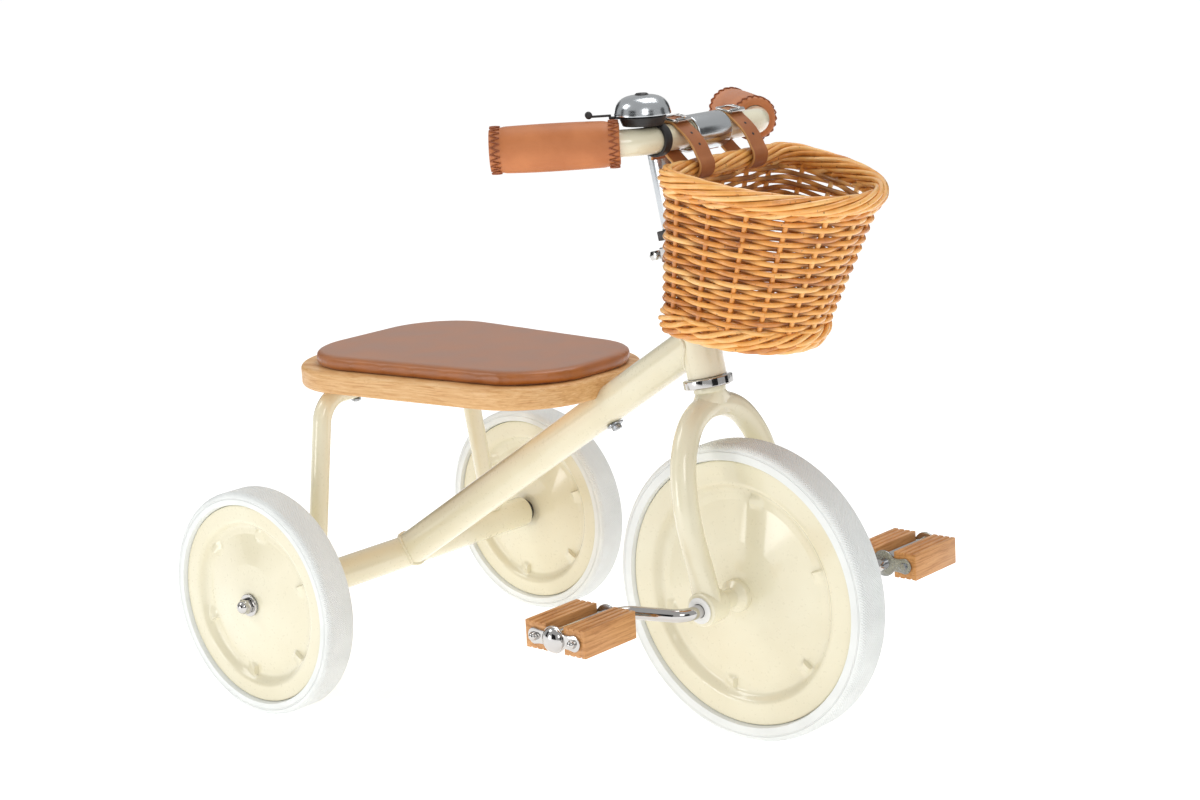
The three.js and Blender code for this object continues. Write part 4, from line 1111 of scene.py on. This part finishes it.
lever.append(moved(button, shift(28.8, 0, 4.8) @ Matrix.Rotation(math.pi / 2, 4, "X")))
piece("bell_lever_skin", lever, BLACK, "thumb_lever", ["bell_lever"], LEVER)

# %% [markdown]
# ## The basket
# Upright stakes stand round the basket, and thinner willow rods weave past them: one row
# goes outside a stake where the next goes inside. The weave has a rule, so Geometry Nodes
# make it. Python only lays guide lines on the basket's wall, one for each rod, and each
# point of a line carries its way out, how far round it is in stakes, and its rod's shade.

# %% The basket's wall
BASKET = FROM_REAR @ shift(444, 0, 426) @ Matrix.Rotation(math.radians(11.3), 4, "Y")
BASKET_HEIGHT = 150
STAKES = 16


def dee(half, depth, count=720):
    """The outline, flat at the back: points evenly spaced from the middle of the back."""
    corner = 20.0
    waist = depth * 0.3
    raw = [(0.0, 0.0), (0.0, -(half - corner))]
    raw += [(corner - corner * math.cos(a), -(half - corner) - corner * math.sin(a))
            for a in (k * math.pi / 24 for k in range(1, 13))]
    raw += [(waist + (depth - waist) * math.sin(a), -half * math.cos(a))
            for a in (k * math.pi / 60 for k in range(0, 31))]
    raw += [(x, -y) for x, y in reversed(raw[1:-1])]
    raw.append((0.0, 0.0))
    lengths = [0.0]
    for p, q in zip(raw, raw[1:]):
        lengths.append(lengths[-1] + math.dist(p, q))
    line, i = [], 0
    for k in range(count):
        want = lengths[-1] * k / count
        while lengths[i + 1] < want:
            i += 1
        t = (want - lengths[i]) / max(lengths[i + 1] - lengths[i], 1e-9)
        line.append(Vector((raw[i][0] + (raw[i + 1][0] - raw[i][0]) * t,
                            raw[i][1] + (raw[i + 1][1] - raw[i][1]) * t)))
    return line


bottom_line, top_line = dee(76, 119), dee(99, 160)


TO_STEERING = STEERING.inverted() @ BASKET
FROM_STEERING = TO_STEERING.to_3x3().inverted()


def wall(turn, z, out_by=0.0):
    """A point on the wall, `turn` from 0 to 1 round it, and its way out."""
    t = z / BASKET_HEIGHT
    place = (turn % 1.0) * 720
    i, f = int(place) % 720, place - int(place)

    def level(line):
        return line[i].lerp(line[(i + 1) % 720], f)
    here = level(bottom_line).lerp(level(top_line), t)
    along = (bottom_line[(i + 4) % 720].lerp(top_line[(i + 4) % 720], t)
             - bottom_line[(i - 4) % 720].lerp(top_line[(i - 4) % 720], t)).normalized()
    outward = Vector((-along.y, along.x, 0))
    if outward.xy.dot(here - Vector((60, 0))) < 0:
        outward.negate()
    point = Vector((here.x, here.y, z)) + outward * out_by
    off = TO_STEERING @ (point * MM)            # the back is dented round the head tube
    off.z = 0
    if off.length < 25.5 * MM:
        push = (off.normalized() if off.x > 0 else Vector((1, 0, 0))) * (25.5 * MM - off.length)
        point += (FROM_STEERING @ push) / MM
    return point, outward

# %% The weaving tree
weave, given, result = start_tree(
    "Woven rods", {"Rod": 0.0021, "Depth": 0.0026, "Wander": 0.0006, "Sides": 8, "Seed": 3})
line = add_node(weave, "GeometryNodeMeshToCurve", {0: given.outputs[0]})
phase = add_node(weave, "GeometryNodeInputNamedAttribute", {"Name": "stake_phase"},
                 data_type="FLOAT")
away = add_node(weave, "GeometryNodeInputNamedAttribute", {"Name": "outward"},
                data_type="FLOAT_VECTOR")
thick = add_node(weave, "GeometryNodeInputNamedAttribute", {"Name": "thickness"},
                 data_type="FLOAT")
swing = add_node(weave, "GeometryNodeInputNamedAttribute", {"Name": "swing"}, data_type="FLOAT")
cosine = add_node(weave, "ShaderNodeMath", {0: phase.outputs[0]}, operation="COSINE")
depth = add_node(weave, "ShaderNodeMath", {0: cosine.outputs[0], 1: given.outputs["Depth"]},
                 operation="MULTIPLY")
depth = add_node(weave, "ShaderNodeMath", {0: depth.outputs[0], 1: swing.outputs[0]},
                 operation="MULTIPLY")
push = add_node(weave, "ShaderNodeVectorMath", {0: away.outputs[0], "Scale": depth.outputs[0]},
                operation="SCALE")
here = add_node(weave, "GeometryNodeInputPosition")
seed = add_node(weave, "ShaderNodeMath", {0: given.outputs["Seed"], 1: 1.7}, operation="MULTIPLY")
noise = add_node(weave, "ShaderNodeTexNoise",
                 {"Vector": here.outputs[0], "W": seed.outputs[0], "Scale": 55.0, "Detail": 1.0},
                 noise_dimensions="4D")
centred = add_node(weave, "ShaderNodeVectorMath", {0: noise.outputs["Color"], 1: (0.5, 0.5, 0.5)},
                   operation="SUBTRACT")
wander = add_node(weave, "ShaderNodeVectorMath",
                  {0: centred.outputs[0], "Scale": given.outputs["Wander"]}, operation="SCALE")
step = add_node(weave, "ShaderNodeVectorMath", {0: push.outputs[0], 1: wander.outputs[0]},
                operation="ADD")
woven = add_node(weave, "GeometryNodeSetPosition",
                 {"Geometry": line.outputs[0], "Offset": step.outputs[0]})
section = add_node(weave, "GeometryNodeCurvePrimitiveCircle",
                   {"Resolution": given.outputs["Sides"], "Radius": given.outputs["Rod"]})
scaled = add_node(weave, "GeometryNodeSetCurveRadius",
                  {"Curve": woven.outputs[0], "Radius": thick.outputs[0]})
rods = add_node(weave, "GeometryNodeCurveToMesh",
                {"Curve": scaled.outputs[0], "Profile Curve": section.outputs[0],
                 "Fill Caps": True})
end_tree(weave, result, rods.outputs[0], WILLOW)

# %% Lay the guide lines
random.seed(7)
guides = []        # one rod each: points, ways out, phases, swing, thickness, shade, closed


def rod(points, outs, phases=None, swing=0.0, thick=1.0, closed=False, taper=0.0, shade=None):
    count = len(points)
    widths = [thick * (1 - taper * abs(2 * i / max(count - 1, 1) - 1) ** 3) for i in range(count)]
    guides.append((points, outs, phases or [0.0] * count, swing, widths,
                   random.random() if shade is None else shade, closed))


rows = 24
row_low, row_high = 15.5, 133.5
for row in range(rows):
    z = row_low + (row_high - row_low) * row / (rows - 1)
    per_stake = 12
    # A row is made of several rods laid end to end, each with its own shade.
    starts = sorted(random.sample(range(STAKES), 2))
    for first, last in zip(starts, starts[1:] + [starts[0] + STAKES]):
        n = (last - first) * per_stake
        tilt = random.uniform(-0.5, 0.5)
        points, outs, phases = [], [], []
        for k in range(n + 1):
            at = first + k / per_stake
            p, o = wall(at / STAKES, z + tilt * math.sin(at * 0.9))
            points.append(p), outs.append(o)
            phases.append(math.pi * (at + row))
        rod(points, outs, phases, 1.0, random.uniform(0.92, 1.12), taper=0.12)
for k in range(STAKES):
    points, outs = [], []
    for j in range(9):
        z = -4 + 150 * j / 8
        p, o = wall(k / STAKES, z)
        points.append(p), outs.append(o)
    rod(points, outs, thick=1.12)

# %% [markdown]
# The rim is a border of six rods that lie round each other like a slack rope, and below it
# and at the foot are bands where three rods weave as one, which gives slanting strokes.

# %% Rim, foot and floor
def rope(z_mid, strands, helix, turns, rod_size, out_by, tall=1.0, steps=300):
    """Strands that wind round a line on the wall. `tall` makes the rope higher than wide."""
    for s in range(strands):
        points, outs = [], []
        for k in range(steps):
            t = k / steps
            a = 2 * math.pi * (turns * t + s / strands)
            p, o = wall(t, z_mid, out_by)
            points.append(p + o * (helix * math.cos(a)) + Vector((0, 0, helix * tall * math.sin(a))))
            outs.append(o)
        rod(points, outs, thick=rod_size * random.uniform(0.93, 1.1), closed=True)


rope(147.0, 8, 5.8, 3, 1.3, 0.8, tall=1.25)
rope(147.0, 2, 2.2, 4, 1.3, 0.8)
rope(137.5, 3, 2.6, 11, 1.15, 2.0, tall=1.2)
rope(9.0, 4, 3.9, 6, 1.15, 1.6, tall=1.35)
rope(0.5, 5, 3.6, 5, 1.2, 0.5, tall=1.15)
floor_rows = 25
for i in range(floor_rows):
    x = 5 + (119 - 9) * i / (floor_rows - 1)
    reach = max(abs(p.y) for p in bottom_line if abs(p.x - x) < 2.5) - 3
    steps = 34
    points = [Vector((x, -reach + 2 * reach * k / steps, -1.5)) for k in range(steps + 1)]
    rod(points, [Vector((0, 0, 1))] * (steps + 1),
        [math.pi * (p.y / 24 + 0.5 + i) for p in points], 0.8, 1.1, taper=0.1)
for y in (-60, -36, -12, 12, 36, 60):
    ends = [p.x for p in bottom_line if abs(p.y - y) < 1.5]
    points = [Vector((min(ends) + (max(ends) - min(ends)) * k / 8, y, -1.5)) for k in range(9)]
    rod(points, [Vector((0, 0, 1))] * 9, thick=1.2)

# %% Grow the rods
def rod_mesh(lines):
    mesh = bpy.data.meshes.new("rods")
    points, edges, columns = [], [], {"outward": [], "stake_phase": [], "swing": [],
                                      "thickness": [], "rod_tint": []}
    turn = BASKET.to_3x3()
    for line, outs, phases, swing_by, widths, shade_of, closed in lines:
        start = len(points)
        points += [BASKET @ (p * MM) for p in line]
        edges += [(i, i + 1) for i in range(start, len(points) - 1)]
        if closed:
            edges.append((len(points) - 1, start))
        columns["outward"] += [c for o in outs for c in turn @ o]
        columns["stake_phase"] += phases
        columns["swing"] += [swing_by] * len(line)
        columns["thickness"] += widths
        columns["rod_tint"] += [shade_of] * len(line)
    mesh.from_pydata(points, edges, [])
    for label, values in columns.items():
        if label == "outward":
            mesh.attributes.new(label, "FLOAT_VECTOR", "POINT").data.foreach_set("vector", values)
        else:
            mesh.attributes.new(label, "FLOAT", "POINT").data.foreach_set("value", values)
    return mesh


basket = grow("basket_wicker", rod_mesh(guides), weave,
              {"Rod": 0.00255, "Depth": 0.0032, "Wander": 0.0006, "Sides": 8, "Seed": 3})
declare(basket, "steering", ["basket"])
print("basket:", len(guides), "rods,", len(basket.data.polygons), "faces")

# %% [markdown]
# ## The straps
# Two leather straps hang the basket from the bar. Each goes over the bar and under the rim,
# back up to a buckle on top of the bar, and its spare end hangs behind the bar. A strap is a band of
# thickness 2.5 mm along a line in the upright plane, with pale cut edges.

# %% A band of leather
def band(line, width, thick, y, closed=False):
    """A flat strap of leather along a line of (x, z), with its cut sides as material 1."""
    line = [Vector(p).to_2d() for p in line]
    count, bevel = len(line), 0.7
    w, t = width / 2, thick / 2
    section = [(bevel - w, -t), (w - bevel, -t), (w, bevel - t), (w, t - bevel), (w - bevel, t),
               (bevel - w, t), (-w, t - bevel), (-w, bevel - t)]
    points, faces, numbers = [], [], []
    for i, here in enumerate(line):
        after = line[(i + 1) % count] if closed or i < count - 1 else here
        before = line[i - 1] if closed or i else here
        along = (after - before).normalized()
        normal = Vector((-along.y, along.x))
        points += [(here.x + normal.x * h, y + across, here.y + normal.y * h)
                   for across, h in section]
    for i in range(count if closed else count - 1):
        j = (i + 1) % count
        for k in range(8):
            n = (k + 1) % 8
            faces.append((i * 8 + k, i * 8 + n, j * 8 + n, j * 8 + k))
            numbers.append(0 if k in (0, 4) else 1)
    if not closed:
        faces += [tuple(range(8)), tuple(range((count - 1) * 8, count * 8))]
        numbers += [1, 1]
    return points, faces, numbers


def belt(a, b, ra, rb, slack, steps=26):
    """The closed line of a belt round two circles in the (x, z) plane, from a's top."""
    to = Vector(b) - Vector(a)
    angle, reach = math.atan2(to.y, to.x), to.length
    lean_by = math.acos((ra - rb) / reach)
    line = []
    for k in range(steps + 1):
        t = angle + lean_by + (2 * math.pi - 2 * lean_by) * k / steps
        line.append(Vector(a) + Vector((math.cos(t), math.sin(t))) * ra)
    for k in range(steps + 1):
        t = angle - lean_by + 2 * lean_by * k / steps
        line.append(Vector(b) + Vector((math.cos(t), math.sin(t))) * rb)
    start, end = line[-1], line[0]
    out = Vector((math.cos(angle + lean_by), math.sin(angle + lean_by)))
    for k in range(1, 14):          # the upper run is a little slack
        line.append(start.lerp(end, k / 14) + out * slack * math.sin(math.pi * k / 14))
    return line


bar_at = BAR.translation
rim_at = (BASKET @ shift(0, 0, 150)).translation
bar_xz = Vector((bar_at.x, bar_at.z)) / MM
rim_xz = Vector((rim_at.x, rim_at.z)) / MM
THICK = 2.5
OVER_BAR, UNDER_RIM = 13.3, 10.4        # radii that the strap's inner face follows
STRAP_Y = 41                            # each strap's middle, from the tricycle's middle
SLACK = 3.0
loop = belt(bar_xz, rim_xz, OVER_BAR + THICK / 2, UNDER_RIM + THICK / 2, SLACK)
for side, sign in (("left", 1), ("right", -1)):
    y = sign * STRAP_Y
    # The spare end: from the bar's top, over the loop and down behind the bar.
    tail_start = OVER_BAR + THICK * 1.6
    tail = [bar_xz + Vector((math.cos(t), math.sin(t))) * tail_start
            for t in (math.radians(60 + 12 * k) for k in range(12))]
    tail += [tail[-1] + Vector((-1.2 * k, -4.6 * k)) for k in range(1, 5)]
    parts = [band(loop, 22, THICK, y, closed=True), band(tail, 20, THICK * 0.9, y)]
    # Each punched hole is a thin black disc on the strap's face: painted shade for the hole's depth.
    for k in (-4, -9):          # punched holes in the upper run, dark inside
        along = (loop[k + 1] - loop[k - 1]).normalized()
        outward = Vector((along.y, -along.x))
        outward *= 1 if outward.x > 0 else -1
        at = loop[k] + outward * (THICK / 2 - 0.35)
        hole = turned([(0, 0), (1.4, 0), (1.4, 0.5), (0, 0.5)], 20)
        place = (shift(at.x, y, at.y)
                 @ Matrix.Rotation(math.atan2(outward.x, outward.y), 4, "Y"))
        points, faces = moved(hole, place)[:2]
        parts.append((points, faces, [2] * len(faces)))
    piece(f"strap_{side}_leather", parts, STRAP_LEATHER, "steering", [f"strap_{side}"],
          extra=[EDGE, BLACK], smooth=40)

# %% Buckles
def buckle_parts():
    """A roller buckle in its own frame: X along the strap, Y across, Z away from it."""
    frame_line = rounded([(-7.5, -12.6, 0), (7.5, -12.6, 0), (7.5, 12.6, 0), (-7.5, 12.6, 0)],
                         2.5, 5, True)
    parts = [swept(frame_line, 1.2, 12, closed=True)]
    roller = turned(profile_round([(1.1, -10), (2.3, -10), (2.3, 10), (1.1, 10)], 0.5), 24)
    parts.append(moved(roller, shift(7.5, 0, 0.2) @ ALONG_Y))
    parts.append(swept([(-7.5, 0, 0.6), (-3, 0, 2.2), (4, 0, 2.7), (9, 0, 2.8)], 1.0, 12))
    parts.append(swept([(-7.5, -12.6, 0), (-7.5, 12.6, 0)], 1.3, 12))
    return parts


tilt = math.radians(12)         # forward of the bar's top, where the strap lies flat
normal = Vector((math.sin(tilt), math.cos(tilt)))
for side, sign in (("left", 1), ("right", -1)):
    at = bar_xz + normal * (OVER_BAR + THICK + 1.6)
    place = shift(at.x, sign * STRAP_Y, at.y) @ Matrix.Rotation(tilt, 4, "Y")
    piece(f"buckle_{side}_skin", buckle_parts(), CHROME, "steering", [f"buckle_{side}"], place)
print("straps made")

# %% [markdown]
# ## Finishes for the CAD pieces that stay
# The axle rod is hidden in its tube and hubs, so it stays a plain CAD piece with real zinc.

# %% Paint what stays
for node in frame["nodes"].values():
    if not node.hide_render:
        node.data.materials.clear()
        node.data.materials.append(ZINC)
        print("kept from CAD:", node.name)

# %% [markdown]
# ## Studio
# A pale floor that glows a little, as a light table does, a bright even sky, and four soft
# lamps: one high, one on each side and a low one that draws a light along the metal. A white
# wall far off closes the view where the floor ends.

# %% Floor
floor_material = bpy.data.materials.new("pale paper")
floor_material.use_nodes = True
paper = floor_material.node_tree.nodes["Principled BSDF"]
paper.inputs["Base Color"].default_value = colour("ffffff")
paper.inputs["Roughness"].default_value = 0.9
paper.inputs["Emission Color"].default_value = colour("ffffff")
paper.inputs["Emission Strength"].default_value = 0.49
floor_mesh = bpy.data.meshes.new("floor")
FLOOR_HALF, FLOOR_Z = 30, -0.0005
floor_mesh.from_pydata([(x * FLOOR_HALF, y * FLOOR_HALF, FLOOR_Z)
                        for x, y in ((-1, -1), (1, -1), (1, 1), (-1, 1))], [], [(0, 1, 2, 3)])
floor_mesh.materials.append(floor_material)
floor = bpy.data.objects.new("floor", floor_mesh)
bpy.context.scene.collection.objects.link(floor)

# %% The white wall, seen by the camera alone
ROUND, WALL_RADIUS = 48, 28
wall_points = [(WALL_RADIUS * math.cos(2 * math.pi * k / ROUND),
                WALL_RADIUS * math.sin(2 * math.pi * k / ROUND), z)
               for z in (-0.01, 14.0) for k in range(ROUND)]
wall_mesh = bpy.data.meshes.new("backdrop")
wall_mesh.from_pydata(wall_points, [], [(k, (k + 1) % ROUND, ROUND + (k + 1) % ROUND, ROUND + k)
                                        for k in range(ROUND)])
wall_mesh.materials.append(floor_material)
backdrop = bpy.data.objects.new("backdrop", wall_mesh)
bpy.context.scene.collection.objects.link(backdrop)
backdrop.visible_diffuse = backdrop.visible_glossy = backdrop.visible_shadow = False

# %% Lamps and sky
def soft_lamp(name, place, size, power):
    lamp = bpy.data.lights.new(name, "AREA")
    lamp.size, lamp.energy = size, power
    made = bpy.data.objects.new(name, lamp)
    made.location = place
    made.rotation_euler = (Vector((0, 0, 0.3)) - Vector(place)).to_track_quat("-Z", "Y").to_euler()
    bpy.context.scene.collection.objects.link(made)


soft_lamp("key", (-1.7, -1.7, 2.5), 1.1, 14)
soft_lamp("strip", (-1.2, -2.65, 0.35), 0.75, 8)
soft_lamp("fill", (2.4, -1.8, 1.7), 1.0, 12)
soft_lamp("top", (0.2, 0.7, 2.8), 1.5, 22)
world = bpy.data.worlds.new("studio")
bpy.context.scene.world = world
world.use_nodes = True
sky = world.node_tree.nodes["Background"]
sky.inputs["Color"].default_value = (1.0, 1.0, 1.0, 1.0)
sky.inputs["Strength"].default_value = 0.53

# %% [markdown]
# Bright metal shows only what is round it, and an all white room would make it flat grey. A
# photographer stands black flags round the set. These are seen by reflections alone.

# %% Flags
flag_material = bpy.data.materials.new("black felt")
flag_material.use_nodes = True
felt = flag_material.node_tree.nodes["Principled BSDF"]
felt.inputs["Base Color"].default_value = colour("1d1e20")
felt.inputs["Roughness"].default_value = 1.0
flags = bpy.data.meshes.new("flags")
corners, sheets = [], []
for angle, width, low, high in ((-90, 1.7, 0.1, 1.9), (-140, 0.8, 0.1, 1.9), (-20, 1.5, 0.1, 1.9),
                                (40, 1.1, 0.1, 1.7), (95, 1.4, 0.1, 1.7), (165, 1.6, 0.1, 1.9)):
    a = math.radians(angle)
    centre = Vector((3.2 * math.cos(a), 3.2 * math.sin(a), 0))
    across = Vector((-math.sin(a), math.cos(a), 0)) * width / 2
    start = len(corners)
    corners += [centre - across + Vector((0, 0, low)), centre + across + Vector((0, 0, low)),
                centre + across + Vector((0, 0, high)), centre - across + Vector((0, 0, high))]
    sheets.append((start, start + 1, start + 2, start + 3))
flags.from_pydata(corners, [], sheets)
flags.materials.append(flag_material)
flag = bpy.data.objects.new("flags", flags)
bpy.context.scene.collection.objects.link(flag)
flag.visible_camera = flag.visible_diffuse = flag.visible_shadow = False

# %% [markdown]
# The camera is a long lens about two and a half metres off, a little above the handlebar and
# looking down, so the wheels stay nearly round.

# %% Camera
YAW, PITCH, ROLL = 0.7263, 0.2168, -0.0581
CAMERA_PLACE = Vector((1.8455 + REAR_AXLE.x, -1.7414, 0.8355))
camera_data = bpy.data.cameras.new("camera")
camera_data.lens, camera_data.sensor_width = 70.46, 36.0
camera = bpy.data.objects.new("camera", camera_data)
forward = Vector((-math.sin(YAW) * math.cos(PITCH), math.cos(YAW) * math.cos(PITCH),
                  -math.sin(PITCH)))
level = Vector((math.cos(YAW), math.sin(YAW), 0))
upright = level.cross(forward)
right = level * math.cos(ROLL) + upright * math.sin(ROLL)
up = upright * math.cos(ROLL) - level * math.sin(ROLL)
camera.matrix_world = Matrix(((right.x, up.x, -forward.x, CAMERA_PLACE.x),
                              (right.y, up.y, -forward.y, CAMERA_PLACE.y),
                              (right.z, up.z, -forward.z, CAMERA_PLACE.z), (0, 0, 0, 1)))
camera_data.clip_start, camera_data.clip_end = 0.05, 100
bpy.context.scene.collection.objects.link(camera)
bpy.context.scene.camera = camera
bpy.context.scene.view_settings.view_transform = "Standard"
